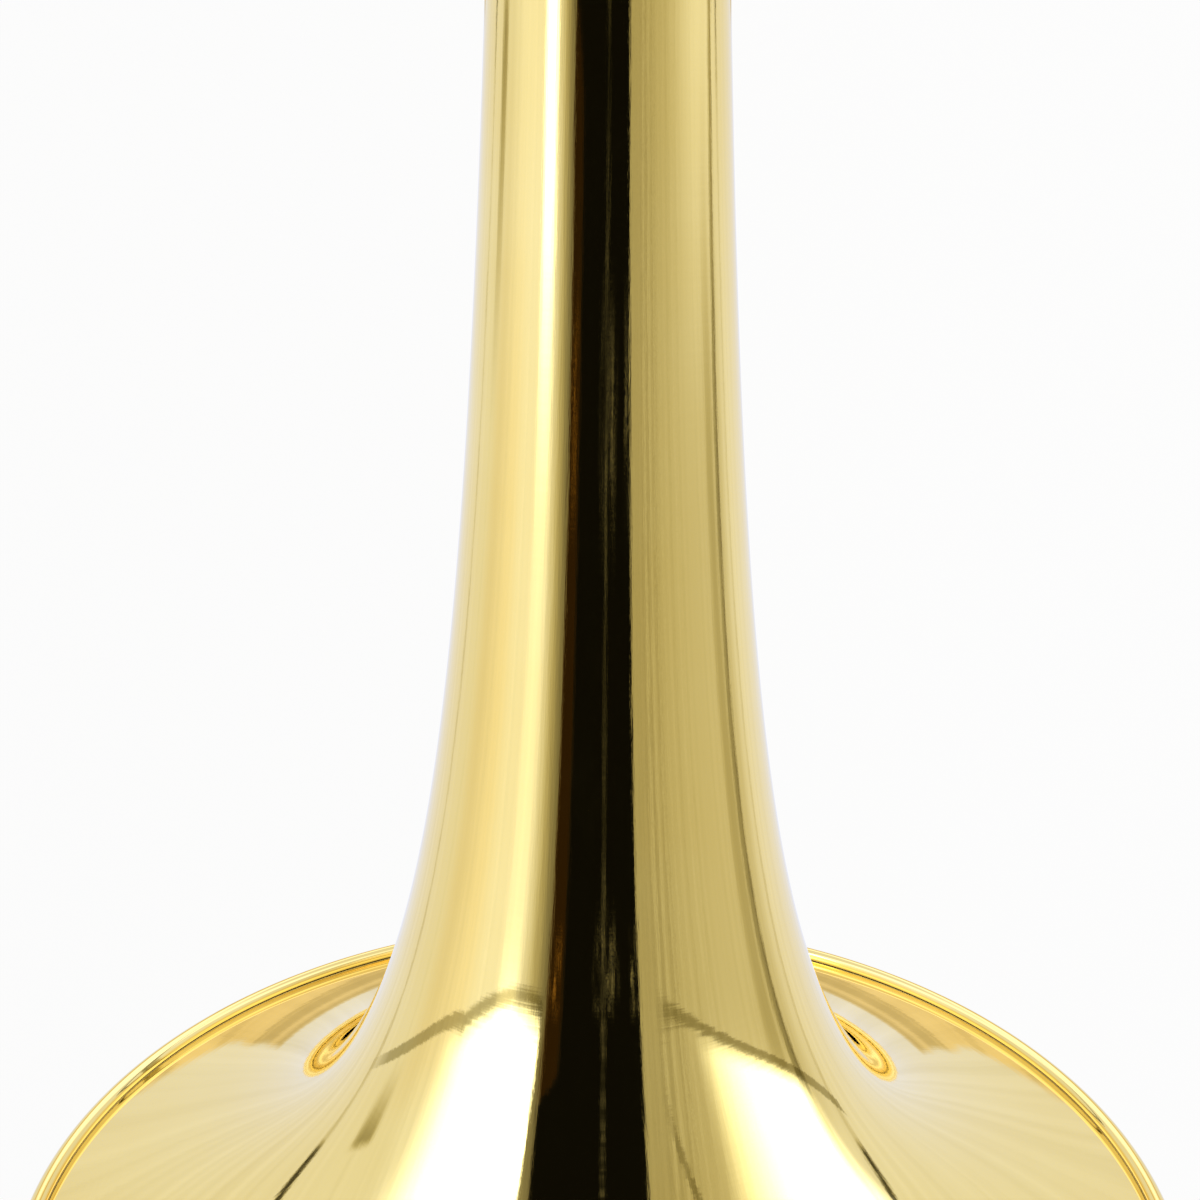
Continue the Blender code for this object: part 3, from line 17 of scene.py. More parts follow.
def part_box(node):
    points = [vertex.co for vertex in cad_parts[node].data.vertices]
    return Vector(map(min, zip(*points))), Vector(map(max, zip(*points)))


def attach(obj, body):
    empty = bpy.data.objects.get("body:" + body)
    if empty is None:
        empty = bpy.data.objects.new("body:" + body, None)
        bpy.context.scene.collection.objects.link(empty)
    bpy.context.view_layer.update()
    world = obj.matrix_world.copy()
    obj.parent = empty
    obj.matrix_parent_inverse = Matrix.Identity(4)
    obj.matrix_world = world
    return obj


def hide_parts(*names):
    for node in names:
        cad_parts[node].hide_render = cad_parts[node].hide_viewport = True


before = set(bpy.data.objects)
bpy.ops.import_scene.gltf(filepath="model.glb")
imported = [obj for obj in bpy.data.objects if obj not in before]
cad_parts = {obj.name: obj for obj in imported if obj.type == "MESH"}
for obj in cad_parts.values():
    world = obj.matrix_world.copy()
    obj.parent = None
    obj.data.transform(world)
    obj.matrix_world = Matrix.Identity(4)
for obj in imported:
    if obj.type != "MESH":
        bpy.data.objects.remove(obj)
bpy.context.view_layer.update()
MM = 0.001
print("nodes:", len(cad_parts))

# %% [markdown]
# ## Sizes
# Lengths along the slide come from the frame, because a box of a turned piece gives its ends exactly. Radii
# and walls are named here in millimetres. A maker draws tubing by its bore and wall, so the outside sizes
# follow.

# %% Named sizes, in millimetres
BORE = 6.95
INNER_WALL = 0.3
STOCKING_STEP = 0.2
OUTER_WALL = 0.35
SLEEVE_WALL = 0.55
SLIDE_GAP = 0.15
SEAT_GAP = 0.3
TUBE_WALL = 0.5
LEG_WALL = 0.4
UPPER_Z = 42.0
LOWER_Z = -42.0
NECK_Y = 8.0
BELL_Y = 128.0
BELL_RADIUS = 108.0
BELL_WALL = 0.5
BEAD_RADIUS = 2.0
TAIL_RADIUS = 10.4

INNER_RADIUS = BORE + INNER_WALL
STOCKING_RADIUS = INNER_RADIUS + STOCKING_STEP
OUTER_BORE = STOCKING_RADIUS + SLIDE_GAP
OUTER_RADIUS = OUTER_BORE + OUTER_WALL
SLEEVE_BORE = OUTER_RADIUS + SLIDE_GAP
SLEEVE_RADIUS = SLEEVE_BORE + SLEEVE_WALL


def span(node, axis=0):
    """First and last place of a node along an axis, in millimetres."""
    low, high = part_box(node)
    return low[axis] / MM, high[axis] / MM


BELL_TAIL = span("bell_stem")[0]
BELL_FRONT = span("bell_flare")[1]
print(f"bell from {BELL_TAIL:.1f} to {BELL_FRONT:.1f} mm, outer slide tube radius {OUTER_RADIUS:.2f} mm")

# %% [markdown]
# ## Camera
# The picture looks at the back of the flare from above, with the bell's mouth at the bottom. The camera's
# place was worked out from the two edges of the throat and the far edge of the rim: it stands 294 mm from a
# point on the bell's axis, leans 17 degrees towards the tail, and has a lens a little longer than normal.

# %% Camera
AIM_BEHIND_RIM = 0.1206
AIM_SIDE = -0.0006
CAMERA_DISTANCE = 0.294
CAMERA_LEAN = math.radians(17.27)
CAMERA_ROLL = math.radians(0.42)
FOCAL_PIXELS = 1723
PICTURE_PIXELS = 1200
SENSOR_MM = 36.0


def add_to_scene(name, data):
    obj = bpy.data.objects.new(name, data)
    bpy.context.scene.collection.objects.link(obj)
    return obj


def make_camera():
    """Looks down on the bell. The picture's right is +Y and its top is the tail, -X."""
    axis_point = Vector(((BELL_FRONT * MM) - AIM_BEHIND_RIM, BELL_Y * MM, LOWER_Z * MM))
    place = axis_point + Vector((-math.sin(CAMERA_LEAN), 0, math.cos(CAMERA_LEAN))) * CAMERA_DISTANCE
    backward = (place - axis_point - Vector((0, AIM_SIDE, 0))).normalized()
    right = Vector((0, 1, 0))
    right = (right - backward * right.dot(backward)).normalized()
    level = Matrix((right, backward.cross(right), backward)).transposed()
    camera = add_to_scene("camera", bpy.data.cameras.new("camera"))
    camera.data.sensor_width = SENSOR_MM
    camera.data.lens = SENSOR_MM * FOCAL_PIXELS / PICTURE_PIXELS
    camera.data.clip_start = 0.01
    camera.matrix_world = Matrix.Translation(place) @ (level @ Matrix.Rotation(CAMERA_ROLL, 3, "Z")).to_4x4()
    bpy.context.scene.camera = camera
    return camera


camera = make_camera()
bpy.context.scene.view_settings.view_transform = "Standard"
print("camera at", [round(v, 3) for v in camera.matrix_world.translation], "lens", round(camera.data.lens, 1))

# %% [markdown]
# ## Maths on sockets
# Shader and geometry trees are easier to read as formulas than as boxes. Wire wraps one output socket, and
# Python's own operators add the Math nodes. Graph adds every other node: its settings first, then its
# inputs.

# %% Wire and Graph


class Wire:
    """One output socket. An expression on wires adds its Math nodes to the tree."""

    def __init__(self, graph, socket):
        self.graph = graph
        self.socket = socket

    def math(self, operation, *others):
        return self.graph.add("ShaderNodeMath", {"operation": operation}, dict(enumerate((self, *others))))

    def __add__(self, other):
        return self.math("ADD", other)

    def __sub__(self, other):
        return self.math("SUBTRACT", other)

    def __rsub__(self, other):
        return self.math("MULTIPLY_ADD", -1.0, other)

    def __mul__(self, other):
        return self.math("MULTIPLY", other)

    def __truediv__(self, other):
        return self.math("DIVIDE", other)

    def __pow__(self, other):
        return self.math("POWER", other)

    __radd__ = __add__
    __rmul__ = __mul__


class Graph:
    """Adds nodes to one tree and gives back their outputs as wires."""

    def __init__(self, tree):
        self.tree = tree

    def add(self, kind, settings=(), values=(), out=0):
        node = self.tree.nodes.new(kind)
        for name, value in dict(settings).items():
            setattr(node, name, value)
        for name, value in dict(values).items():
            if isinstance(value, Wire):
                self.tree.links.new(value.socket, node.inputs[name])
            else:
                node.inputs[name].default_value = value
        return Wire(self, node.outputs[out]) if node.outputs else None

    def step(self, value, low, high):
        """0 below low, 1 above high, smooth between them. The other way round where high is the smaller."""
        fade = {"Value": value, "From Min": low, "From Max": high}
        return self.add("ShaderNodeMapRange", {"interpolation_type": "SMOOTHSTEP"}, fade)

    def near(self, value, place, half_width):
        """1 at one place, 0 beyond half_width from it."""
        return self.step((value - place).math("ABSOLUTE"), half_width, half_width / 3)

    def mix(self, factor, first, second):
        settings = {"data_type": "RGBA", "blend_type": "MIX"}
        return self.add("ShaderNodeMix", settings, {0: factor, 6: first, 7: second}, out=2)

    def noise(self, place, scale, detail=2.0, roughness=0.5, dimensions="3D"):
        values = {"W" if dimensions == "1D" else "Vector": place, "Scale": scale, "Detail": detail,
                  "Roughness": roughness}
        return self.add("ShaderNodeTexNoise", {"noise_dimensions": dimensions}, values)

    def vector(self, operation, *vectors, out=0):
        return self.add("ShaderNodeVectorMath", {"operation": operation}, dict(enumerate(vectors)), out)

    def axis(self, vector, number):
        return self.add("ShaderNodeSeparateXYZ", (), {"Vector": vector}, out=number)

    def point(self, x=0.0, y=0.0, z=0.0):
        return self.add("ShaderNodeCombineXYZ", (), {"X": x, "Y": y, "Z": z})

    def object_place(self):
        return self.add("ShaderNodeTexCoord", out="Object")


def begin_material(name):
    material = bpy.data.materials.new(name)
    material.use_nodes = True
    material.node_tree.nodes.clear()
    return material, Graph(material.node_tree)


print("maths on sockets ready")

# %% [markdown]
# ## Studio
# The bell stands between two big cloth panels, with a dark gap between them where the photographer stands.
# The gap gives the black stripe down the middle of the throat, and the panels give the golden sides. A
# mirror shows light by direction alone, so the panels are written into the world as a map of angles round
# the bell's axis: turn is the angle from straight up, and rise is the angle towards the bell's tail. The
# left panel has a hot strip where a lamp stands behind it, and both panels have folds and a seam. Only
# reflections see this map. The camera sees plain white, and matt surfaces see an even soft light. Dim light
# in this room is warm and bright light is cool, which keeps the brass brown in its dark parts and pale in
# its bright ones.

# %% World
GAP_LEFT = -20.0
GAP_RIGHT = 20.5
BROWN_EDGE = 7.5
LAMP_TURN = -51.0
LEFT_SEAM = -124.0
RIGHT_SEAM = 105.0
RIGHT_EDGE = 117.4
WALL_LIGHT = 0.82
SOFT_LIGHT = 0.80
WARM = (1.0, 0.955, 0.74, 1.0)
COOL = (1.0, 1.06, 1.34, 1.0)
BROWN = (1.0, 0.50, 0.12, 1.0)
AMBER = (1.08, 0.88, 0.48, 1.0)
BLUSH = (0.98, 0.94, 0.90, 1.0)
WHITE = (1.0, 1.0, 1.0, 1.0)


def left_panel(graph, turn, rise, high):
    """Bright cloth that dims towards the gap, with the lamp's strip and, high up, a fold."""
    cloth = WALL_LIGHT + graph.near(turn, -64.0, 34.0) * 0.16 - graph.step(turn, -48.0, -27.0) * 0.66
    lamp = graph.near(turn, LAMP_TURN, 8.0) * (high * 2.2 + 0.2)
    fold = graph.near(turn, -107.0, 5.5) * high * graph.step(rise, 7.0, 4.0) * 0.48
    return cloth + lamp - fold


def right_panel(graph, turn, high):
    """Dimmer cloth that brightens away from the gap, most of all high up."""
    cloth = 0.40 + graph.step(turn, 18.0, 62.0) * 0.16 + graph.step(turn, 50.0, 90.0) * (high * 0.26 + 0.06)
    wall = graph.step(turn, RIGHT_SEAM, RIGHT_SEAM + 14.0)
    fold = graph.near(turn, 94.0, 6.0) * (1.0 - high) * 0.16
    return cloth * (1.0 - wall) + wall * WALL_LIGHT - fold


def pleats(graph, turn):
    """Streaks of light along both panels, strongest in the right one next to the gap."""
    folds = graph.noise(turn, 0.42, 4.0, 0.72, "1D")
    cloth = graph.step(turn, 72.0, 40.0) * graph.step(turn, GAP_RIGHT, GAP_RIGHT + 1.0)
    return (folds - 0.5) * (cloth * 0.8 + 0.26) + 1.0


def gap_glints(graph, turn, rise):
    """A thin thread of light down the gap and some sparks half way up the throat and in the flare."""
    glints = graph.step(graph.noise(rise, 0.6, dimensions="1D"), 0.4, 0.7)
    thread = graph.near(turn, 1.4, 1.2) * (glints * 0.06 + 0.01)
    sparks = graph.noise(graph.point(turn * 0.9, rise * 0.6), 1.0, dimensions="2D")
    places = graph.near(turn, 3.0, 8.0) + graph.near(turn, 18.0, 2.6) * 1.4 + graph.near(turn, -25.0, 4.0)
    return thread + graph.step(sparks, 0.54, 0.72) * places * graph.near(rise, -2.8, 2.8) * 0.24


def panel_seams(graph, turn, rise):
    along = turn - rise * 0.3
    seams = graph.near(along, RIGHT_SEAM, 3.2) * 0.5 + graph.near(along, RIGHT_SEAM + 2.0, 1.2) * 0.3
    edges = graph.near(turn, LEFT_SEAM, 1.3) + graph.near(turn, RIGHT_EDGE, 1.3)
    return seams + edges * (graph.step(rise, 1.0, 5.0) * 0.7 + 0.22)


def room(graph, turn, rise):
    """Strength and colour of the mirrored room."""
    high = graph.step(rise, -8.0, 6.0)
    on_right = graph.step(turn, -1.0, 1.0)
    panels = left_panel(graph, turn, rise, high) * (1.0 - on_right)
    panels = panels + right_panel(graph, turn, high) * on_right
    edge = graph.step(turn, GAP_LEFT - BROWN_EDGE - 2.0, GAP_LEFT - BROWN_EDGE) * graph.step(turn, 12.0, 8.0)
    past_left = turn - GAP_LEFT + graph.step(rise, 4.0, 8.0) * (BROWN_EDGE + 1.0)
    in_gap = graph.step(past_left, -1.2, 0.6) * graph.step(turn, GAP_RIGHT + 0.5, GAP_RIGHT - 0.3)
    level = panels * pleats(graph, turn) * (1.0 - edge * 0.88) * (1.0 - in_gap)
    level = level * (1.0 - panel_seams(graph, turn, rise)) + gap_glints(graph, turn, rise) + 0.004

    wavy = graph.noise(rise, 0.16, 3.0, dimensions="1D") * 3.0 - 1.5
    behind = turn.math("ABSOLUTE") + (rise - 12.0).math("MAXIMUM", 0.0) * 0.65 + wavy
    backdrop = graph.step(behind, 159.6, 160.6) * graph.step(rise, 1.5, 3.0) * graph.step(rise, 40.0, 30.0)
    patches = graph.step(graph.noise(rise, 0.22, 3.0, dimensions="1D"), 0.42, 0.60)
    ends = graph.step(rise.math("ABSOLUTE"), 42.0, 60.0)
    level = level * (1.0 - backdrop * patches * 0.3) * (1.0 - ends) + ends * WALL_LIGHT
    level = level + graph.near(rise, 46.0, 16.0) * 0.5

    tint = graph.mix(graph.step(level, 0.35, 1.0), WARM, COOL)
    tint = graph.mix(graph.near(turn, -88.0, 22.0) * (1.0 - high) * 0.7, tint, BLUSH)
    tint = graph.mix(edge * (1.0 - in_gap), tint, BROWN)
    return level, graph.mix(backdrop * 0.85, tint, AMBER)


def make_world():
    world = bpy.data.worlds.new("studio")
    world.use_nodes = True
    world.node_tree.nodes.clear()
    graph = Graph(world.node_tree)
    direction = graph.add("ShaderNodeTexCoord")
    ahead, left, above = (graph.axis(direction, number) for number in range(3))
    turn = left.math("ARCTAN2", above) * math.degrees(1.0)
    level, tint = room(graph, turn, ahead.math("ARCSINE") * -math.degrees(1.0))
    mirrored = graph.add("ShaderNodeBackground", (), {"Color": tint, "Strength": level})
    plain = graph.add("ShaderNodeBackground", (), {"Color": WHITE, "Strength": SOFT_LIGHT})
    white = graph.add("ShaderNodeBackground", (), {"Color": WHITE, "Strength": 1.0})
    seen, glossy, bent = (graph.add("ShaderNodeLightPath", out=name)
                          for name in ("Is Camera Ray", "Is Glossy Ray", "Is Transmission Ray"))
    lit = graph.add("ShaderNodeMixShader", (), {0: glossy, 1: plain, 2: mirrored})
    shown = graph.add("ShaderNodeMixShader", (), {0: seen.math("MAXIMUM", bent), 1: lit, 2: white})
    graph.add("ShaderNodeOutputWorld", (), {"Surface": shown})
    bpy.context.scene.world = world
    return world


world = make_world()
print("studio world:", len(world.node_tree.nodes), "nodes")

# %% [markdown]
# ## Light cards
# The flare faces another way than the throat, and shows what stands close beside it: a small glowing card
# on each side, whose lower edge has a thin dark hem. The two white patches low in the picture are these
# cards, and the brown curves above them are the hems. A card is a sheet that only mirrors can see, and the
# left one is bent. Its UV map, in metres along the sheet, says where it glows and where the hem is.

# %% Light cards
CARD_STRENGTH = 3.6
CARD_COLOUR = (0.86, 0.95, 1.2, 1.0)
HEM_COLOUR = (0.52, 0.50, 0.40, 1.0)
BLACK = (0.0, 0.0, 0.0, 1.0)


def make_card(name, place, facing, corners, bend, pattern):
    """A sheet whose across axis runs away from the camera.

    place is behind the rim, aside and above the bell's axis. corners are the sheet's edges across and up. bend
    is a place across and an angle in degrees: the sheet turns there towards its back. pattern gives the hem's
    height, its strength and the glow, from places across and up in millimetres.
    """
    behind_rim, aside, above = place
    normal = Vector(facing).normalized()
    across = Vector((0, -normal.z, normal.y)).normalized() * (1 if aside < 0 else -1)
    (left, right), heights = corners
    crease, angle = bend[0], math.radians(bend[1])
    reach = right - crease
    stations = [(left, left, 0.0), (crease, crease, 0.0),
                (right, crease + reach * math.cos(angle), -reach * math.sin(angle))]
    mesh = bpy.data.meshes.new(name)
    mesh.from_pydata([(x * MM, y * MM, z * MM) for _, x, z in stations for y in heights], [],
                     [(0, 2, 3, 1), (2, 4, 5, 3)])
    sheet = mesh.uv_layers.new(name="sheet")
    flat = [(a * MM, y * MM) for a, _, _ in stations for y in heights]
    for loop in mesh.loops:
        sheet.data[loop.index].uv = flat[loop.vertex_index]
    mesh.materials.append(card_material(f"{name}_glow", pattern))
    card = add_to_scene(name, mesh)
    centre = Vector((BELL_FRONT - behind_rim, BELL_Y + aside, LOWER_Z + above)) * MM
    frame_axes = Matrix((across, normal.cross(across), normal)).transposed()
    card.matrix_world = Matrix.Translation(centre) @ frame_axes.to_4x4()
    for ray in ("camera", "diffuse", "shadow", "transmission"):
        setattr(card, f"visible_{ray}", False)
    return card


def card_material(name, pattern):
    material, graph = begin_material(name)
    place = graph.add("ShaderNodeUVMap", {"uv_map": "sheet"})
    across, up = (graph.axis(place, number) / MM for number in range(2))
    hem_height, hem_strength = pattern["hem"](graph, across)
    over = up - hem_height + (graph.noise(place, 1900.0, 3.0) - 0.5) * 1.3
    hem = graph.step(over.math("ABSOLUTE"), 1.3, 0.9) * hem_strength
    clear, dim = (graph.add("ShaderNodeBsdfTransparent", (), {"Color": colour})
                  for colour in (WHITE, HEM_COLOUR))
    through = graph.add("ShaderNodeMixShader", (), {0: hem, 1: clear, 2: dim})
    shine = graph.mix(pattern["glow"](graph, across, over), BLACK, CARD_COLOUR)
    lit = graph.add("ShaderNodeEmission", (), {"Color": shine, "Strength": CARD_STRENGTH})
    both = graph.add("ShaderNodeAddShader", (), {0: through, 1: lit})
    graph.add("ShaderNodeOutputMaterial", (), {"Surface": both})
    return material


def left_hem(graph, across):
    """Rises along the flat part, and sags along the bent part."""
    flat = (across + 25.0) * (across + 25.0) * 0.0042 - 34.6
    bent = (across - 46.0) * (across - 46.0) * 0.009 - 31.8
    return flat.math("MINIMUM", bent), graph.step(across, -38.0, -35.0) * graph.step(across, 68.0, 60.0)


def left_glow(graph, across, over):
    return graph.step(across, 38.0, -6.0) * graph.step(across, -37.0, -35.5) * graph.step(over, 0.0, 4.0)


def right_hem(graph, across):
    lifted = (across + 60.0).math("MAXIMUM", 0.0)
    return lifted ** 2.7 * -0.00012 + 97.0, graph.step(across, -78.0, -40.0)


def right_glow(graph, across, over):
    return graph.step(across, -25.0, 26.0) * graph.step(across, 41.0, 30.0) * graph.step(over, 0.0, -5.0)


make_card("left_light_card", (29.0, -74.5, 68.0), (-0.433, -0.785, 0.443), ((-40, 75), (-40, 14)), (20, 60),
          {"hem": left_hem, "glow": left_glow})
make_card("right_light_card", (-7.5, 123.5, 47.0), (-0.727, 0.684, -0.055), ((-90, 52), (40, 100)), (0, 0),
          {"hem": right_hem, "glow": right_glow})
print("light cards made")

# %% [markdown]
# ## Floor and lamp
# A pale sheet lies well below the instrument, which is held at its left-hand grip. It fades to the white of
# the room, so that no edge shows. One wide lamp from above gives the sheet a faint soft shadow. The lamp is
# kept out of reflections, where it would draw a square.

# %% Floor and lamp
FLOOR_Z = -0.46
FLOOR_SIZE = 9.0
LAMP_WATTS = 9.0


def make_floor():
    bpy.ops.mesh.primitive_plane_add(size=FLOOR_SIZE, location=(0.2, 0.05, FLOOR_Z))
    floor = bpy.context.object
    floor.name = "floor"
    material, graph = begin_material("pale_paper")
    place = graph.object_place()
    grain = graph.noise(place, 900.0) * 0.012 + 0.90
    colour = graph.add("ShaderNodeCombineColor", (), {"Red": grain, "Green": grain, "Blue": grain})
    paper = graph.add("ShaderNodeBsdfDiffuse", (), {"Color": colour})
    white = graph.add("ShaderNodeEmission", (), {"Strength": 1.0})
    camera_ray = graph.add("ShaderNodeLightPath", out="Is Camera Ray")
    whiteness = graph.step(graph.vector("LENGTH", place, out="Value"), 1.0, 4.0) * 0.14 + 0.86
    surface = graph.add("ShaderNodeMixShader", (), {0: camera_ray * whiteness, 1: paper, 2: white})
    graph.add("ShaderNodeOutputMaterial", (), {"Surface": surface})
    floor.data.materials.append(material)
    floor.visible_glossy = False


def make_lamp():
    lamp = add_to_scene("soft_lamp", bpy.data.lights.new("soft_lamp", "AREA"))
    lamp.data.shape = "SQUARE"
    lamp.data.size = 1.6
    lamp.data.energy = LAMP_WATTS
    lamp.location = (-0.3, 0.7, 1.7)
    lamp.rotation_euler = (Vector((0.1, 0.05, 0.0)) - lamp.location).to_track_quat("-Z", "Y").to_euler()
    lamp.visible_glossy = False


make_floor()
make_lamp()
print("floor at", FLOOR_Z, "m")

# %% [markdown]
# ## Metals
# Every metal here is polished. What tells them apart is colour, the direction of the polish and how clean
# the mirror is. Brass sheet is buffed along its length, so its finest lines run with the tube. Turned parts
# keep fine rings from the lathe. Clear lacquer lies over the brass as a thin second gloss. The lines are
# noise stretched along one direction: the coordinates are small along the polish and large across it.

# %% Metal materials


def give_surface(graph, base, rough, height, strength, distance, constants):
    bump = graph.add("ShaderNodeBump", (), {"Strength": strength, "Distance": distance, "Height": height})
    values = {"Base Color": base, "Roughness": rough, "Normal": bump, **constants}
    graph.add("ShaderNodeOutputMaterial", (), {"Surface": graph.add("ShaderNodeBsdfPrincipled", (), values)})


def polish(slot, name, colours, scale, roughness, line_height, coat):
    """A polished metal and its slot. scale is small along its finest marks."""
    material, graph = begin_material(name)
    place = graph.object_place()
    stretched = graph.add("ShaderNodeMapping", (), {"Vector": graph.object_place(), "Scale": scale})
    marks = graph.noise(stretched, 2600.0, 3.0, 0.6)
    smudge = graph.step(graph.noise(place, 70.0, 5.0, 0.62), 0.56, 0.78)
    tone = graph.step(graph.noise(place, 26.0, 4.0, 0.55), 0.32, 0.72)
    base = graph.mix(tone, *((*colour, 1.0) for colour in colours))
    rough = marks * (roughness * 0.8) + smudge * 0.04 + roughness * 0.6
    gloss = {"Metallic": 1.0, "Coat Weight": coat, "Coat Roughness": 0.03, "Coat IOR": 1.5}
    give_surface(graph, base, rough, marks, 0.35, line_height, gloss)
    return slot, material


BRASS = ((1.0, 0.79, 0.28), (0.97, 0.745, 0.235))
NICKEL = ((0.80, 0.775, 0.69), (0.74, 0.71, 0.62))
CHROME = ((0.79, 0.80, 0.82), (0.75, 0.76, 0.79))
SILVER = ((0.92, 0.905, 0.86), (0.88, 0.85, 0.79))
STEEL = ((0.50, 0.51, 0.54), (0.42, 0.43, 0.47))
ALONG_X = (0.02, 1.0, 1.0)
RINGS_X = (1.0, 0.03, 0.03)

tube_brass = polish("lacquered_brass", "lacquered_brass_tube", BRASS, ALONG_X, 0.05, 0.000004, 0.5)
rod_brass = polish("lacquered_brass", "lacquered_brass_rod", BRASS, (0.03, 0.03, 1.0), 0.06, 0.000006, 0.5)
turned_nickel = polish("nickel_silver", "nickel_silver_turned", NICKEL, RINGS_X, 0.07, 0.000006, 0.3)
drawn_nickel = polish("nickel_silver", "nickel_silver_drawn", NICKEL, ALONG_X, 0.06, 0.000004, 0.3)
cast_nickel = polish("nickel_silver", "nickel_silver_cast", NICKEL, (0.6, 0.4, 0.6), 0.10, 0.000008, 0.3)
chrome = polish("chrome_plate", "hard_chrome", CHROME, ALONG_X, 0.04, 0.000003, 0.0)
silver = polish("silver_plate", "silver_plate", SILVER, RINGS_X, 0.05, 0.000004, 0.0)
steel = polish("spring_steel", "spring_steel", STEEL, (1.0, 0.02, 1.0), 0.22, 0.000010, 0.0)
print("metals: lacquered brass, nickel silver, chrome, silver and steel")

# %% [markdown]
# ## Bell brass
# The bell is hammered and spun on a mandrel, then buffed from the rim to the tail. Its marks run along the
# throat and fan out over the flare, and a few fine rings are left from the spinning. Both need coordinates
# that go round the bell's own axis: the direction away from the axis, with no length, is the same all the
# way along one buffing line.

# %% Bell material


def make_bell_brass():
    material, graph = begin_material("lacquered_brass_bell")
    place = graph.object_place()
    from_axis = graph.vector("SUBTRACT", place, (0.0, BELL_Y * MM, LOWER_Z * MM))
    away = graph.vector("MULTIPLY", from_axis, (0.0, 1.0, 1.0))
    along = graph.axis(from_axis, 0)
    buffed = graph.vector("ADD", graph.vector("NORMALIZE", away), graph.point(along * 2.0))
    lines = graph.noise(buffed, 34.0, 5.0, 0.62)
    rings = graph.noise(graph.vector("LENGTH", away, out="Value") * 1.2 + along, 520.0, dimensions="1D")
    smudge = graph.step(graph.noise(place, 46.0, 6.0, 0.65), 0.58, 0.80)
    tone = graph.step(graph.noise(place, 18.0, 4.0), 0.3, 0.7)
    base = graph.mix(tone, *((*colour, 1.0) for colour in BRASS))
    gloss = {"Metallic": 1.0, "Coat Weight": 0.5, "Coat Roughness": 0.02, "Coat IOR": 1.5}
    roughness = lines * 0.018 + smudge * 0.035 + 0.018
    give_surface(graph, base, roughness, lines + rings * 0.35, 0.30, 0.00003, gloss)
    return material


bell_brass = make_bell_brass()
print("bell material:", len(bell_brass.node_tree.nodes), "nodes")

# %% [markdown]
# ## Rubber, cork and felt
# Three small soft pieces are matt. Rubber is nearly black with a fine grain, pressed cork shows its
# granules, and felt is pale with loose fibres that catch light at the edge.

# %% Matt materials


def make_rubber():
    material, graph = begin_material("black_rubber")
    place = graph.object_place()
    dust = graph.step(graph.noise(place, 300.0, 5.0), 0.5, 0.8)
    base = graph.mix(dust * 0.5, (0.016, 0.016, 0.017, 1.0), (0.060, 0.058, 0.055, 1.0))
    grain = graph.noise(place, 2400.0, 4.0)
    give_surface(graph, base, dust * 0.2 + 0.55, grain, 0.5, 0.00008, {"Specular IOR Level": 0.4})
    return "black_rubber", material


def make_cork():
    material, graph = begin_material("pressed_cork")
    granules = {"Vector": graph.object_place(), "Scale": 1500.0}
    grains = graph.add("ShaderNodeTexVoronoi", {"feature": "F1"}, granules, out="Color")
    shade = graph.add("ShaderNodeSeparateColor", (), {"Color": grains}, out=0)
    walls = graph.add("ShaderNodeTexVoronoi", {"feature": "DISTANCE_TO_EDGE"}, granules, out="Distance")
    base = graph.mix(shade, (0.48, 0.30, 0.15, 1.0), (0.66, 0.45, 0.26, 1.0))
    give_surface(graph, base, shade * 0.15 + 0.75, walls, 0.6, 0.0001, {"Specular IOR Level": 0.2})
    return "cork", material


def make_felt():
    material, graph = begin_material("wool_felt")
    fibres = graph.noise(graph.object_place(), 5200.0, 5.0, 0.75)
    base = graph.mix(fibres, (0.52, 0.49, 0.43, 1.0), (0.74, 0.71, 0.65, 1.0))
    give_surface(graph, base, fibres * 0.1 + 0.88, fibres, 0.8, 0.0002, {"Sheen Weight": 0.4})
    return "bumper_felt", material


rubber = make_rubber()
cork = make_cork()
felt = make_felt()
print("matt materials: rubber, cork and felt")

# %% [markdown]
# ## Shape tools
# Almost every piece of a trombone is turned or drawn: an outline spun about an axis, or a ring carried
# along a path. A shape here is a pair of lists, its points and its faces. Real edges are never knife sharp,
# so every corner of an outline is rounded before it is spun. That thin round is what catches a bright line
# of light.
#
# A product picture is tidied: the slide beside the polished bell would stand in it as bright golden lines.
# So the pieces of the slide are left out of what mirrors see, as a photographer takes the slide away for
# this shot.

# %% Shape tools
TURN_SEGMENTS = 64
ROUND_STEPS = 3
MIRRORED_BODIES = ("bell_section", "tuning_slide")
made = []


def outward(points, faces):
    """Turns a closed shape's faces outwards, judged by its signed volume."""
    volume = 0.0
    for face in faces:
        for second, third in zip(face[1:], face[2:]):
            volume += np.dot(points[face[0]], np.cross(points[second], points[third]))
    return (points, faces) if volume > 0 else (points, [face[::-1] for face in faces])


def skin(rings, closed):
    """Joins rings of equal count. A closed body joins its last ring to its first, an open one gets caps."""
    count = len(rings[0])
    points = np.array([point for ring in rings for point in ring], dtype=float)
    centre = points.mean(axis=0)
    faces = []
    for r in range(len(rings) if closed else len(rings) - 1):
        a, b = r * count, ((r + 1) % len(rings)) * count
        faces += [(a + k, a + (k + 1) % count, b + (k + 1) % count, b + k) for k in range(count)]
    if not closed:
        faces += [tuple(range(count))[::-1], tuple(range((len(rings) - 1) * count, len(rings) * count))]
    points, faces = outward(points - centre, faces)
    return points + centre, faces


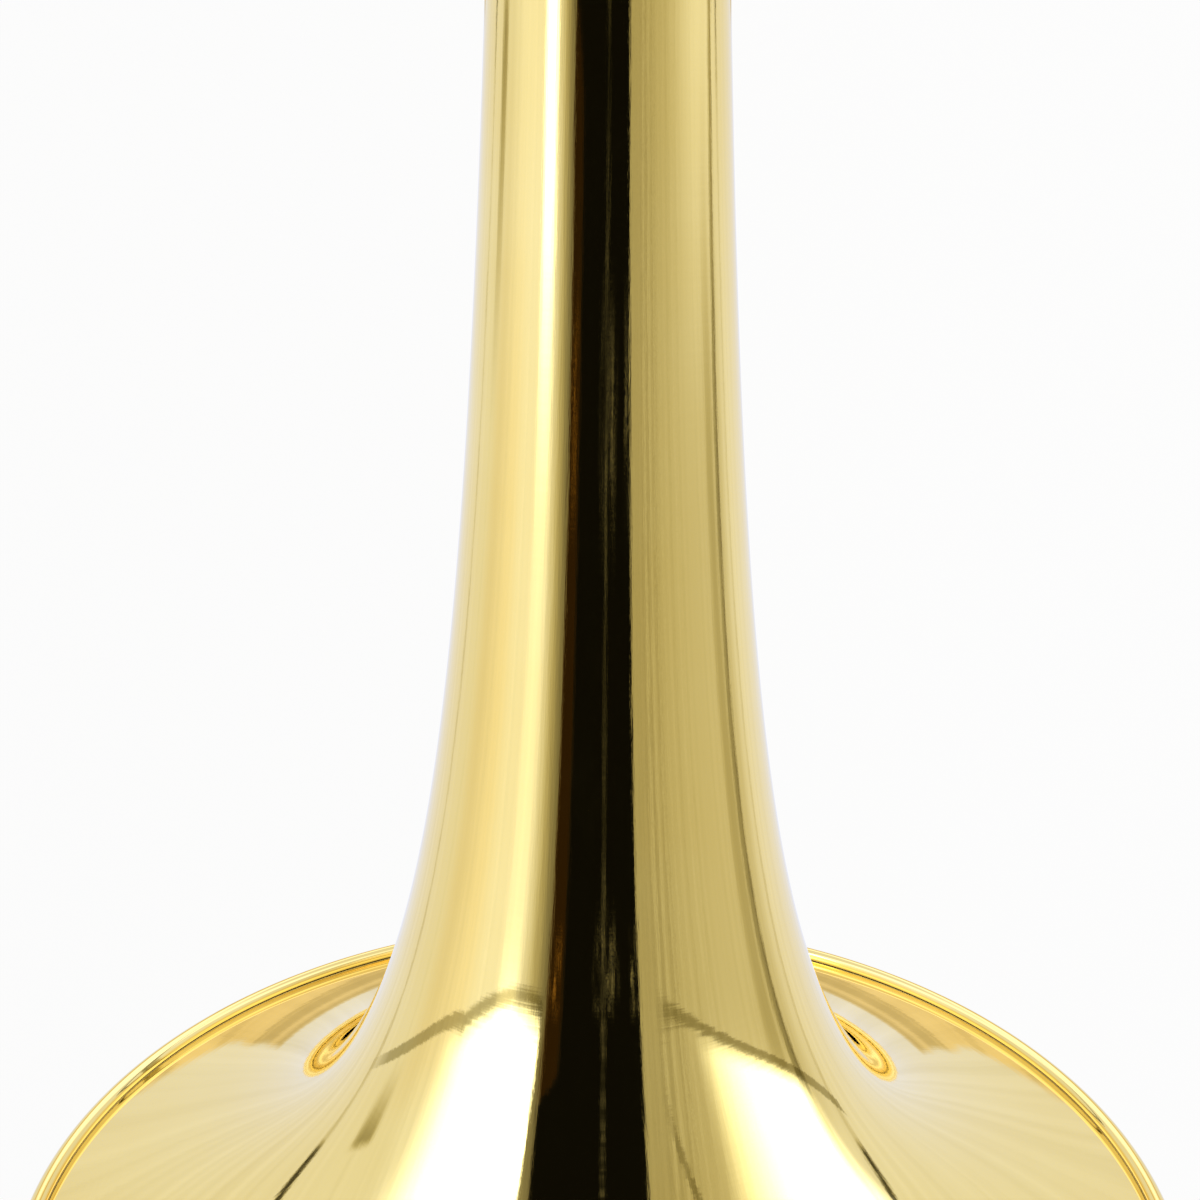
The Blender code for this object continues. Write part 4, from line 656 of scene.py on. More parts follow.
def rounded(outline, radius, closed=True):
    """Rounds the corners of a flat outline with short arcs, smaller where its sides are short."""
    corners = [np.array(p, dtype=float) for p in outline]
    result = []
    for k, corner in enumerate(corners):
        before, after = corners[k - 1] - corner, corners[(k + 1) % len(corners)] - corner
        to_before, to_after = before / np.linalg.norm(before), after / np.linalg.norm(after)
        bend = math.pi - math.acos(np.clip(np.dot(to_before, to_after), -1, 1))
        if bend < math.radians(12) or (not closed and k in (0, len(corners) - 1)):
            result.append(tuple(corner))
            continue
        reach = min(radius * math.tan(bend / 2), 0.45 * np.linalg.norm(before), 0.45 * np.linalg.norm(after))
        start, end = corner + to_before * reach, corner + to_after * reach
        for t in (n / ROUND_STEPS for n in range(ROUND_STEPS + 1)):
            result.append(tuple((1 - t) ** 2 * start + 2 * t * (1 - t) * corner + t * t * end))
    return result


def ring_of(centre, across, up, radius, segments):
    angles = 2 * math.pi * np.arange(segments) / segments
    return centre + radius * (np.cos(angles)[:, None] * across + np.sin(angles)[:, None] * up)


def turned(outline, place=(0, 0, 0), axis=(1, 0, 0), segments=TURN_SEGMENTS, edge=0.2, closed=True):
    """Spins (distance, radius) points about an axis. An open outline is closed by flat ends."""
    along = np.array(axis, dtype=float)
    along /= np.linalg.norm(along)
    reference = np.array((0.0, 1.0, 0.0)) if abs(along[1]) < 0.9 else np.array((0.0, 0.0, 1.0))
    across = reference - along * reference.dot(along)
    across /= np.linalg.norm(across)
    up = np.cross(along, across)
    smooth = rounded(outline, edge, closed)
    return skin([ring_of(np.array(place) + along * u, across, up, r, segments) for u, r in smooth], closed)


def tube(start, end, bore, radius, place):
    outline = [(start, bore), (start, radius), (end, radius), (end, bore)]
    return turned(outline, place, edge=0.3 * (radius - bore))


def rod(start, end, radius, place, axis, segments, edge=0.2):
    return turned([(start, radius), (end, radius)], place, axis, segments, edge, closed=False)


def pipe(stations):
    """A tube along stations of (centre, across, up, bore, radius)."""
    outside = [ring_of(c, a, u, radius, TURN_SEGMENTS) for c, a, u, _, radius in stations]
    inside = [ring_of(c, a, u, bore, TURN_SEGMENTS) for c, a, u, bore, _ in stations]
    return skin(outside + inside[::-1], closed=True)


def extruded(outline, low, high, bevel):
    """A flat outline in X and Z, pulled along Y from low to high, with its edges rounded."""
    half_width, middle = (high - low) / 2, (low + high) / 2
    bm = bmesh.new()
    face = bm.faces.new([bm.verts.new((x, -half_width, z)) for x, z in outline])
    for item in bmesh.ops.extrude_face_region(bm, geom=[face])["geom"]:
        if isinstance(item, bmesh.types.BMVert):
            item.co.y = half_width
    bmesh.ops.recalc_face_normals(bm, faces=bm.faces)
    sharp = [e for e in bm.edges if e.calc_face_angle(0) > math.radians(30)]
    bmesh.ops.bevel(bm, geom=sharp, offset=bevel, segments=3, profile=0.5, affect="EDGES", clamp_overlap=True)
    bm.verts.index_update()
    points = np.array([v.co[:] for v in bm.verts]) + np.array((0, middle, 0))
    faces = [tuple(v.index for v in f.verts) for f in bm.faces]
    bm.free()
    return points, faces


def blended(a, b, t):
    return a + (b - a) * t


def shares(steps):
    """Even steps from 0 to 1, both ends included."""
    return [k / steps for k in range(steps + 1)]


def corner(x, radius, *steps):
    """Outline points, each given by how far it lies from one corner."""
    return [(x + along, radius + out) for along, out in steps]


def bead(x, radius, height, width):
    """A half round bead across an outline, from rear to front."""
    return [(x - math.cos(math.pi * t) * width / 2, radius + math.sin(math.pi * t) * height)
            for t in shares(8)]


def piece(name, body, finish, shapes, *nodes, sharp=40.0):
    """Turns shapes in millimetres into one mesh piece that stands for nodes and rides on their body."""
    points = []
    faces = []
    for shape_points, shape_faces in shapes:
        base = len(points)
        points.extend(map(tuple, shape_points * MM))
        faces.extend(tuple(base + i for i in face) for face in shape_faces)
    mesh = bpy.data.meshes.new(name)
    mesh.from_pydata(points, [], faces)
    mesh.validate()
    finish_piece(name, mesh, body, finish, *nodes, sharp=sharp)


def finish_piece(name, mesh, body, finish, *nodes, sharp=40.0):
    slot, material = finish
    mesh.shade_smooth()
    mesh.set_sharp_from_angle(angle=math.radians(sharp))
    mesh.materials.clear()
    mesh.materials.append(material)
    obj = add_to_scene(name, mesh)
    obj.visible_glossy = body in MIRRORED_BODIES
    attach(obj, body)
    if nodes:
        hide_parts(*nodes)
    made.append(obj)


print("shape tools ready")

# %% [markdown]
# ## Geometry node tools
# What follows a rule or repeats is made by a node tree with named inputs, built here and run once. A tree
# is evaluated on an empty mesh, its result is copied into a plain mesh, and the modifier goes away with the
# helper.

# %% Geometry node tools
SOCKET_KINDS = {int: "NodeSocketInt", float: "NodeSocketFloat", tuple: "NodeSocketVector"}


class GeometryGraph(Graph):
    """A geometry tree with named inputs. Its result always ends as real, finished mesh."""

    def __init__(self, name, sizes):
        super().__init__(bpy.data.node_groups.new(name, "GeometryNodeTree"))
        self.tree.is_modifier = True
        new_socket = self.tree.interface.new_socket
        new_socket(name="Geometry", in_out="OUTPUT", socket_type="NodeSocketGeometry")
        for label, value in sizes.items():
            new_socket(name=label, in_out="INPUT", socket_type=SOCKET_KINDS[type(value)])
        new_socket(name="Finish", in_out="INPUT", socket_type="NodeSocketMaterial")
        self.source = self.tree.nodes.new("NodeGroupInput")

    def size(self, label):
        return Wire(self, self.source.outputs[label])

    def give(self, geometry):
        real = self.add("GeometryNodeRealizeInstances", (), {"Geometry": geometry})
        smooth = self.add("GeometryNodeSetShadeSmooth", (), {"Geometry": real})
        coated = self.add("GeometryNodeSetMaterial", (), {"Geometry": smooth, "Material": self.size("Finish")})
        self.add("NodeGroupOutput", (), {"Geometry": coated})
        return self


def run_tree(graph, name, sizes, material, wall=0.0):
    """Evaluates a tree with its sizes, and a wall where one is given, into a plain mesh."""
    helper = add_to_scene(f"{name}_helper", bpy.data.meshes.new(f"{name}_helper"))
    modifier = helper.modifiers.new("tree", "NODES")
    modifier.node_group = graph.tree
    wanted = {**sizes, "Finish": material}
    for item in graph.tree.interface.items_tree:
        if item.in_out == "INPUT":
            modifier[item.identifier] = wanted[item.name]
    if wall:
        solidify = helper.modifiers.new("wall", "SOLIDIFY")
        solidify.thickness = wall
        solidify.offset = -1.0
        solidify.use_even_offset = True
    depsgraph = bpy.context.evaluated_depsgraph_get()
    mesh = bpy.data.meshes.new_from_object(helper.evaluated_get(depsgraph), depsgraph=depsgraph)
    bpy.data.objects.remove(helper, do_unlink=True)
    mesh.name = name
    print(f"{name}: {len(mesh.polygons)} faces")
    return mesh


def point_outwards(mesh):
    bm = bmesh.new()
    bm.from_mesh(mesh)
    bmesh.ops.remove_doubles(bm, verts=bm.verts, dist=0.000001)
    bmesh.ops.recalc_face_normals(bm, faces=bm.faces)
    bm.to_mesh(mesh)
    bm.free()


print("geometry node tools ready")

# %% [markdown]
# ## Bell
# A bell follows a flare law: close to the rim the radius falls very fast, and towards the tail very slowly.
# One formula gives the whole horn, which is what geometry nodes are good at. The tree lays out a grid, and
# moves each point to its place round the axis. The last rows of the grid curl round the rim wire. The sheet
# is then given its half millimetre of brass with Solidify.

# %% Bell tree
CURL_TURN = 290.0
FLARE_SCALE = 9.1
FLARE_POWER = 0.544
TAPER_START = 210.0
FLARE_EDGE = BELL_RADIUS - BEAD_RADIUS
RIM_WIRE_RADIUS = 1.3
BELL_DEPTH = BELL_FRONT - BELL_TAIL - BELL_WALL


def flare_law(depth):
    """Outside radius at a depth behind the rim, in millimetres, without the tail's extra taper."""
    return FLARE_EDGE * (FLARE_SCALE / (depth + FLARE_SCALE)) ** FLARE_POWER


TAIL_TRIM = flare_law(BELL_DEPTH) - TAIL_RADIUS


def bell_radius_at(x):
    """Outside radius of the bell at a place along X, in millimetres."""
    depth = BELL_FRONT - BELL_WALL - x
    taper = max(0.0, depth - TAPER_START) / (BELL_DEPTH - TAPER_START)
    return flare_law(depth) - TAIL_TRIM * taper ** 2


BELL_SIZES = {
    "Rows": 128, "Curl Rows": 22, "Segments": 240, "Edge Radius": FLARE_EDGE * MM, "Depth": BELL_DEPTH * MM,
    "Flare Scale": FLARE_SCALE * MM, "Flare Power": FLARE_POWER, "Tail Trim": TAIL_TRIM * MM,
    "Taper Start": TAPER_START * MM, "Wall": BELL_WALL * MM, "Curl Radius": (BEAD_RADIUS - BELL_WALL) * MM,
    "Curl Turn": math.radians(CURL_TURN), "Rim Centre": (BELL_FRONT * MM, BELL_Y * MM, LOWER_Z * MM),
}


def make_bell_tree():
    graph = GeometryGraph("bell_flare", BELL_SIZES)
    size = graph.size
    rows = size("Rows") + size("Curl Rows")
    grid = graph.add("GeometryNodeMeshGrid", (), {
        "Size X": 1.0, "Size Y": 1.0, "Vertices X": rows, "Vertices Y": size("Segments") + 1.0})
    place = graph.add("GeometryNodeInputPosition")
    row = (graph.axis(place, 0) + 0.5) * (rows - 1.0)
    angle = (graph.axis(place, 1) + 0.5) * (2 * math.pi)
    to_rim = (row / (size("Rows") - 1.0)).math("MINIMUM", 1.0)
    curled = ((row - size("Rows") + 1.0) / size("Curl Rows")).math("MAXIMUM", 0.0)
    depth = ((1.0 - to_rim) ** 2.2) * size("Depth")
    turn = curled * size("Curl Turn") * -1.0 + math.pi
    law = size("Edge Radius") * (size("Flare Scale") / (depth + size("Flare Scale"))) ** size("Flare Power")
    taper = (depth - size("Taper Start")).math("MAXIMUM", 0.0) / (size("Depth") - size("Taper Start"))
    radius = law - size("Tail Trim") * taper * taper + turn.math("SINE") * size("Curl Radius")
    back = depth + size("Wall") + (turn.math("COSINE") + 1.0) * size("Curl Radius")
    point = graph.point(back * -1.0, radius * angle.math("COSINE"), radius * angle.math("SINE"))
    target = graph.vector("ADD", point, size("Rim Centre"))
    shaped = graph.add("GeometryNodeSetPosition", (), {"Geometry": grid, "Position": target})
    return graph.give(graph.add("GeometryNodeMergeByDistance", (), {"Geometry": shaped, "Distance": 0.000002}))


bell_mesh = run_tree(make_bell_tree(), "bell_shell", BELL_SIZES, bell_brass, BELL_WALL * MM)
point_outwards(bell_mesh)
finish_piece("bell_shell", bell_mesh, "bell_section", ("lacquered_brass", bell_brass),
             "bell_flare", "bell_throat", "bell_stem", sharp=60.0)
rim_wire_centre = BELL_FRONT - BEAD_RADIUS
wire_outline = [(rim_wire_centre - RIM_WIRE_RADIUS * math.cos(a), FLARE_EDGE + RIM_WIRE_RADIUS * math.sin(a))
                for a in np.linspace(0, 2 * math.pi, 36, endpoint=False)]
piece("rim_wire", "bell_section", steel, [turned(wire_outline, (0, BELL_Y, LOWER_Z), segments=200)],
      "bell_rim_wire")
reach = max(abs(v.co.y - BELL_Y * MM) for v in bell_mesh.vertices) / MM
print(f"bell radius {reach:.2f} mm, front at {max(v.co.x for v in bell_mesh.vertices) / MM:.2f} mm")

# %% [markdown]
# ## Slide tubes
# The inner tubes are hard chrome and carry a slightly thicker stocking at the far end, the only part that
# touches. The outer tubes are thin drawn brass, and a nickel sleeve stiffens them where the hand brace
# sits.

# %% Inner and outer slide tubes
STOCKING_LENGTH = 115.0
UPPER = (0, 0, UPPER_Z)
LOWER = (0, 0, LOWER_Z)
LEGS = {"upper": UPPER, "lower": LOWER}


def add_turned(name, body, finish, outline, place, node, edge=0.2, segments=TURN_SEGMENTS):
    piece(name, body, finish, [turned(outline, place, edge=edge, segments=segments)], node)


for leg, place in LEGS.items():
    rear, front = span(f"inner_tube_{leg}")
    step = front - STOCKING_LENGTH
    outline = [(rear, BORE), (rear, INNER_RADIUS), (step, INNER_RADIUS), (step + 1.0, STOCKING_RADIUS),
               (front, STOCKING_RADIUS), (front, BORE)]
    add_turned(f"inner_slide_tube_{leg}", "inner_slide", chrome, outline, place, f"inner_tube_{leg}", 0.08)
    piece(f"outer_slide_tube_{leg}", "outer_slide", tube_brass,
          [tube(*span(f"outer_tube_{leg}"), OUTER_BORE, OUTER_RADIUS, place)], f"outer_tube_{leg}")
    rear, front = span(f"outer_sleeve_{leg}")
    outline = [(rear, SLEEVE_BORE), (rear, SLEEVE_RADIUS),
               *corner(front, SLEEVE_RADIUS, (-5.0, 0), (-3.6, -0.28), (-2.8, -0.28), (-1.6, 0)),
               (front, SLEEVE_BORE + 0.15), (front, SLEEVE_BORE)]
    add_turned(f"outer_slide_sleeve_{leg}", "outer_slide", drawn_nickel, outline, place,
               f"outer_sleeve_{leg}", 0.15)
print("slide tubes made:", len(made))

# %% [markdown]
# ## Ferrules and sleeves
# A ferrule hides the soldered joint between two tubes. Makers dress it with a raised bead at each end and a
# fine groove beside it. One outline function makes all of them, so they look like one maker's work.

# %% Ferrules and tuning sleeves
NECK_BORE = 7.6
NECK_RADIUS = NECK_BORE + TUBE_WALL
NECK_LEG_RADIUS = NECK_BORE + LEG_WALL
NECK_SLEEVE_BORE = NECK_LEG_RADIUS + SLIDE_GAP
NECK_SLEEVE_RADIUS = NECK_SLEEVE_BORE + TUBE_WALL
BELL_SLEEVE_BORE = TAIL_RADIUS - TUBE_WALL
BELL_LEG_RADIUS = BELL_SLEEVE_BORE - SLIDE_GAP
BELL_LEG_BORE = BELL_LEG_RADIUS - LEG_WALL
BELL_BOW_RADIUS = BELL_LEG_BORE + TUBE_WALL
BOW_BORE = 7.25
BOW_RADIUS = BOW_BORE + 0.5
FERRULE_WALL = 0.9
BOW_FERRULE_WALL = 0.7
NECK_PLACE = (0, NECK_Y, LOWER_Z)
BELL_PLACE = (0, BELL_Y, LOWER_Z)


def add_ferrule(name, body, node, rear_tube, front_tube, middle, wall, place):
    rear, front = span(node)
    rim = max(rear_tube, front_tube) + SEAT_GAP + wall - 0.35
    outline = [(rear, rear_tube + SEAT_GAP), (rear, rim - 0.1), *bead(rear + 1.1, rim, 0.40, 1.6),
               *corner(rear, rim, (2.3, -0.18), (2.7, -0.18), (3.0, 0)),
               *corner(front, rim, (-3.0, 0), (-2.7, -0.18), (-2.3, -0.18)), *bead(front - 1.1, rim, 0.40, 1.6),
               (front, rim - 0.1), (front, front_tube + SEAT_GAP), (middle, front_tube + SEAT_GAP),
               (middle, rear_tube + SEAT_GAP)]
    add_turned(name, body, turned_nickel, outline, place, node, 0.06)


neck_sleeve = span("tuning_sleeve_neck")
bell_sleeve = span("tuning_sleeve_bell")
piece("tuning_tube_neck", "bell_section", tube_brass,
      [tube(*neck_sleeve, NECK_SLEEVE_BORE, NECK_SLEEVE_RADIUS, NECK_PLACE)], "tuning_sleeve_neck")
piece("tuning_tube_bell", "bell_section", tube_brass,
      [tube(*bell_sleeve, BELL_SLEEVE_BORE, TAIL_RADIUS, BELL_PLACE)], "tuning_sleeve_bell")
add_ferrule("neck_joint_ferrule", "bell_section", "neckpipe_ferrule", NECK_SLEEVE_RADIUS, NECK_RADIUS,
            neck_sleeve[1], FERRULE_WALL, NECK_PLACE)
add_ferrule("bell_joint_ferrule", "bell_section", "bell_ferrule", TAIL_RADIUS,
            bell_radius_at(span("bell_ferrule")[1]), bell_sleeve[1], FERRULE_WALL, BELL_PLACE)
for side, place, leg_radius, bow_radius, leg_bore in (
        ("neck", NECK_PLACE, NECK_LEG_RADIUS, NECK_RADIUS, NECK_BORE),
        ("bell", BELL_PLACE, BELL_LEG_RADIUS, BELL_BOW_RADIUS, BELL_LEG_BORE)):
    leg_span = span(f"tuning_leg_{side}")
    piece(f"tuning_slide_leg_{side}", "tuning_slide", drawn_nickel,
          [tube(*leg_span, leg_bore, leg_radius, place)], f"tuning_leg_{side}")
    add_ferrule(f"tuning_slide_ferrule_{side}", "tuning_slide", f"tuning_ferrule_{side}",
                bow_radius, leg_radius, leg_span[0], FERRULE_WALL, place)
for leg, place in LEGS.items():
    add_ferrule(f"end_bow_ferrule_{leg}", "outer_slide", f"bow_ferrule_{leg}", OUTER_RADIUS, BOW_RADIUS,
                span(f"outer_tube_{leg}")[1], BOW_FERRULE_WALL, place)
print("pieces so far:", len(made))

# %% [markdown]
# ## Bent tubes
# The neckpipe, the tuning bow and the end bow are bent tubes. Each is a row of rings carried along its
# centre line. The tuning bow also grows from the neck's bore to the bell's, as the air column does.

# %% Neckpipe and bows
NECK_BEND = (-95.0, -185.0)
TUNING_STRAIGHT = -322.0
TUNING_RADIUS = (BELL_Y - NECK_Y) / 2
END_BOW_RADIUS = (UPPER_Z - LOWER_Z) / 2
END_BOW_START = span("slide_bow")[0]
END_BOW_X = END_BOW_START + 11.5
BOW_STEPS = 72
ACROSS = np.array((0.0, 1.0, 0.0))
UP = np.array((0.0, 0.0, 1.0))


def neck_y(x):
    t = min(max((NECK_BEND[0] - x) / (NECK_BEND[0] - NECK_BEND[1]), 0.0), 1.0)
    return NECK_Y * t * t * (3 - 2 * t)


def neck_bore_at(x):
    rear, front = span("neckpipe")
    return blended(7.15, NECK_BORE, (front - x) / (front - rear))


def neckpipe_shape():
    rear, front = span("neckpipe")
    stations = []
    for x in np.linspace(front, rear, 60):
        slope = neck_y(x + 0.5) - neck_y(x - 0.5)
        along = np.array((-1.0, -slope, 0.0)) / math.hypot(1.0, slope)
        bore = neck_bore_at(x)
        stations.append((np.array((x, neck_y(x), LOWER_Z)), np.cross(UP, along), UP, bore, bore + TUBE_WALL))
    return pipe(stations)


def tuning_bow_shape():
    front = span("tuning_bow")[1]
    middle = np.array((TUNING_STRAIGHT, NECK_Y + TUNING_RADIUS, LOWER_Z))
    places = [(np.array((front, NECK_Y, LOWER_Z)), -ACROSS, 0.0)]
    for t in shares(BOW_STEPS):
        out = np.array((-math.sin(math.pi * t), -math.cos(math.pi * t), 0.0))
        places.append((middle + out * TUNING_RADIUS, out, t))
    places.append((np.array((front, BELL_Y, LOWER_Z)), ACROSS, 1.0))
    bores = [blended(NECK_BORE, BELL_LEG_BORE, t) for _, _, t in places]
    return pipe([(centre, out, UP, bore, bore + TUBE_WALL) for (centre, out, _), bore in zip(places, bores)])


def end_bow_frame(degrees):
    """Centre line of the end bow at an angle from its lower leg, and the direction out of the bend."""
    turn = math.radians(degrees)
    out = np.array((math.sin(turn), 0.0, -math.cos(turn)))
    return np.array((END_BOW_X, 0.0, 0.0)) + out * END_BOW_RADIUS, out


def end_bow_shape():
    places = [end_bow_frame(180.0 * t) for t in shares(BOW_STEPS)]
    places.insert(0, (np.array((END_BOW_START, 0.0, LOWER_Z)), -UP))
    places.append((np.array((END_BOW_START, 0.0, UPPER_Z)), UP))
    return pipe([(centre, out, ACROSS, BOW_BORE, BOW_RADIUS) for centre, out in places])


piece("neck_pipe", "bell_section", tube_brass, [neckpipe_shape()], "neckpipe")
piece("tuning_bow_tube", "tuning_slide", tube_brass, [tuning_bow_shape()], "tuning_bow")
piece("end_bow_tube", "outer_slide", tube_brass, [end_bow_shape()], "slide_bow")
print("pieces so far:", len(made))

# %% [markdown]
# ## Braces
# A brace is a rod held between two feet. The foot is a cast saddle: its edge lies on the tube all round,
# and it sweeps up into a collar that grips the rod. The saddle is spun like a turned piece, but its low
# rings are dropped onto the tube's round back, and higher rings follow the tube less and less.

# %% Braces
SADDLE_SEGMENTS = 72
CROSS_ROD = 4.0
FLANGE_RADIUS = 6.5
FLANGE_COLLAR = 5.2
FLANGE_TOP = 7.0
FLANGE_FLOOR = 1.9


def saddle(place, direction, tube_axis, tube_radius, profile):
    """profile has (radius, height, follow). follow is 1 where a ring lies on the tube, 0 where it is flat."""
    along, lengthwise = np.array(direction, dtype=float), np.array(tube_axis, dtype=float)
    sideways = np.cross(along, lengthwise)
    angles = 2 * math.pi * np.arange(SADDLE_SEGMENTS) / SADDLE_SEGMENTS
    rings = []
    for radius, height, follow in profile:
        side = radius * np.sin(angles)
        drop = tube_radius - np.sqrt(np.maximum(tube_radius ** 2 - side ** 2, 0.0))
        rise = tube_radius + height - follow * drop
        rings.append(np.array(place) + rise[:, None] * along + side[:, None] * sideways
                     + (radius * np.cos(angles))[:, None] * lengthwise)
    return skin(rings, closed=False)


def foot_profile(foot_radius, collar_radius, top, bore, floor):
    """From under the foot, round its edge, up the sweep to the collar, and down into the rod's hole."""
    edge = corner(foot_radius, 0.0, (-0.9, -0.25), (-0.25, -0.20), (0.0, 0.15), (-0.2, 0.5), (-0.7, 0.72))
    profile = [(radius, height, 1.0) for radius, height in edge]
    for t in shares(10):
        radius = blended(foot_radius - 1.0, collar_radius, math.sin(t * math.pi / 2))
        profile.append((radius, blended(0.8, top * 0.62, 1 - math.cos(t * math.pi / 2)), 1.0 - t))
    collar = corner(collar_radius, top, (0.0, -1.5), (0.35, -1.2), (0.45, -0.7), (0.25, -0.2), (-0.1, 0.0))
    hole = [(bore + 0.15, top), (bore, top - 0.15), (bore, floor)]
    return profile + [(radius, height, 0.0) for radius, height in collar + hole]


def cross_brace(prefix, body, neck_y_place, neck_radius, bell_radius):
    """Two saddles and a rod along Y, between the neck side and the bell side."""
    x = sum(span(f"{prefix}_rod")) / 2
    profile = foot_profile(FLANGE_RADIUS, FLANGE_COLLAR, FLANGE_TOP, CROSS_ROD + 0.05, FLANGE_FLOOR)
    for side, y, way, radius in (("neck", neck_y_place, 1, neck_radius), ("bell", BELL_Y, -1, bell_radius)):
        foot = saddle((x, y, LOWER_Z), (0, way, 0), (1, 0, 0), radius, profile)
        piece(f"{prefix}_foot_{side}", body, cast_nickel, [foot], f"{prefix}_flange_{side}")
    start, end = span(f"{prefix}_rod", 1)
    first, last = start + FLANGE_TOP + 2.5, end - FLANGE_TOP - 2.5
    outline = [(start, CROSS_ROD), (first, CROSS_ROD), *bead(first + 1.2, CROSS_ROD, 0.55, 2.2),
               (first + 3.5, CROSS_ROD - 0.35), (last - 3.5, CROSS_ROD - 0.35),
               *bead(last - 1.2, CROSS_ROD, 0.55, 2.2), (last, CROSS_ROD), (end, CROSS_ROD)]
    shape = turned(outline, (x, 0, LOWER_Z), (0, 1, 0), 48, edge=0.3, closed=False)
    piece(f"{prefix}_cross_rod", body, drawn_nickel, [shape], f"{prefix}_rod")


front_x = sum(span("front_brace_rod")) / 2
cross_brace("front_brace", "bell_section", 0, neck_bore_at(front_x) + TUBE_WALL, bell_radius_at(front_x))
cross_brace("rear_brace", "bell_section", NECK_Y, NECK_SLEEVE_RADIUS, TAIL_RADIUS)
cross_brace("tuning_brace", "tuning_slide", NECK_Y, NECK_RADIUS, BELL_BOW_RADIUS)
print("pieces so far:", len(made))

# %% [markdown]
# ## Hand braces
# The slide's two braces carry the hands. Each end is a ring round the leg with a boss that swallows the
# rod. The rod itself is brass tube, drawn in a little at the waist so that fingers settle there.

# %% Hand braces
RECEIVER_RADIUS = 8.8
RING_WALL = 1.5
BRACE_ROD = 4.75
BOSS_RADIUS = 6.2
BOSS_REACH = 17.0


def brace_ring(x, sign, seat_radius, width):
    bore = seat_radius + SEAT_GAP * 0.5
    outer = seat_radius + SEAT_GAP + RING_WALL
    rear, front = x - width / 2, x + width / 2
    outline = [(rear, bore), (rear, outer - 0.5), *bead(rear + 1.1, outer - 0.42, 0.42, 1.7),
               *corner(rear, outer, (2.5, -0.5), (3.2, -0.3)), (x, outer - 0.15),
               *corner(front, outer, (-3.2, -0.3), (-2.5, -0.5)), *bead(front - 1.1, outer - 0.42, 0.42, 1.7),
               (front, outer - 0.5), (front, bore)]
    return turned(outline, (0, 0, sign * UPPER_Z), edge=0.08)


def brace_boss(x, sign, seat_radius):
    outer = seat_radius + SEAT_GAP + RING_WALL - 0.35
    profile = foot_profile(BOSS_RADIUS + 2.2, BOSS_RADIUS - 0.4, BOSS_REACH - outer, BRACE_ROD + 0.05, 0.6)
    return saddle((x, 0, sign * UPPER_Z), (0, 0, -sign), (1, 0, 0), outer, profile)


def add_hand_brace(prefix, body, node, x, seat_radius, width):
    for leg, sign in (("upper", 1), ("lower", -1)):
        shapes = [brace_ring(x, sign, seat_radius, width), brace_boss(x, sign, seat_radius)]
        piece(f"{prefix}_holder_{leg}", body, cast_nickel, shapes, f"{node}_socket_{leg}")
    low, high = span(f"{node}_rod", 2)
    grip = UPPER_Z - BOSS_REACH
    waist = [(blended(-grip + 4.2, grip - 4.2, t), BRACE_ROD - 0.55 * math.sin(math.pi * t) ** 0.6)
             for t in shares(16)]
    outline = [(low, BRACE_ROD), (-grip + 0.5, BRACE_ROD), *bead(-grip + 2.0, BRACE_ROD, 0.5, 2.0), *waist,
               *bead(grip - 2.0, BRACE_ROD, 0.5, 2.0), (grip - 0.5, BRACE_ROD), (high, BRACE_ROD)]
    shape = turned(outline, (x, 0, 0), (0, 0, 1), 56, edge=0.2, closed=False)
    piece(f"{prefix}_grip_rod", body, rod_brass, [shape], f"{node}_rod")


hand_x = sum(span("hand_brace_rod")) / 2
add_hand_brace("left_hand_brace", "inner_slide", "inner_brace", 0.0, RECEIVER_RADIUS, 18.0)
add_hand_brace("right_hand_brace", "outer_slide", "hand_brace", hand_x, SLEEVE_RADIUS, 16.0)
print("pieces so far:", len(made))

# %% [markdown]
# ## Reeded grips
# The lock nut and the slide lock ring are turned by finger and thumb, so their faces are reeded: fine round
# ribs side by side. The ribs are one small rod, set at the points of a circle by geometry nodes. One tree
# with named sizes serves both collars.

# %% Rib tree
RIB_SIZES = {"Count": 60, "Ring Radius": 0.0136, "Rib Radius": 0.0004, "Rib Length": 0.01,
             "Place": (0.0, 0.0, 0.0)}
RIB_RADIUS = 0.42


def make_rib_tree():
    graph = GeometryGraph("reeding", RIB_SIZES)
    size = graph.size
    lying = (0.0, math.pi / 2, 0.0)
    circle = graph.add("GeometryNodeMeshCircle", (), {"Vertices": size("Count"), "Radius": size("Ring Radius")})
    upright = graph.add("GeometryNodeTransform", (), {
        "Geometry": circle, "Rotation": lying, "Translation": size("Place")})
    rib = graph.add("GeometryNodeMeshCylinder", (), {
        "Vertices": 10, "Radius": size("Rib Radius"), "Depth": size("Rib Length")})
    laid = graph.add("GeometryNodeTransform", (), {"Geometry": rib, "Rotation": lying})
    return graph.give(graph.add("GeometryNodeInstanceOnPoints", (), {"Points": upright, "Instance": laid}))


rib_tree = make_rib_tree()


def add_ribs(name, body, count, ring_radius, start, end):
    sizes = {"Count": count, "Ring Radius": ring_radius * MM, "Rib Radius": RIB_RADIUS * MM,
             "Rib Length": (end - start) * MM, "Place": ((start + end) / 2 * MM, 0.0, LOWER_Z * MM)}
    mesh = run_tree(rib_tree, name, sizes, turned_nickel[1])
    finish_piece(name, mesh, body, turned_nickel, sharp=50.0)


# %% [markdown]
# ## Receivers, tenon and lock nut
# The mouthpiece goes into a tapered receiver. Below it, the slide ends in a tapered tenon that the bell
# section sits on, and a reeded cap nut draws the two together. The cork barrels are cups that catch the
# outer slide on felt rings when it closes.

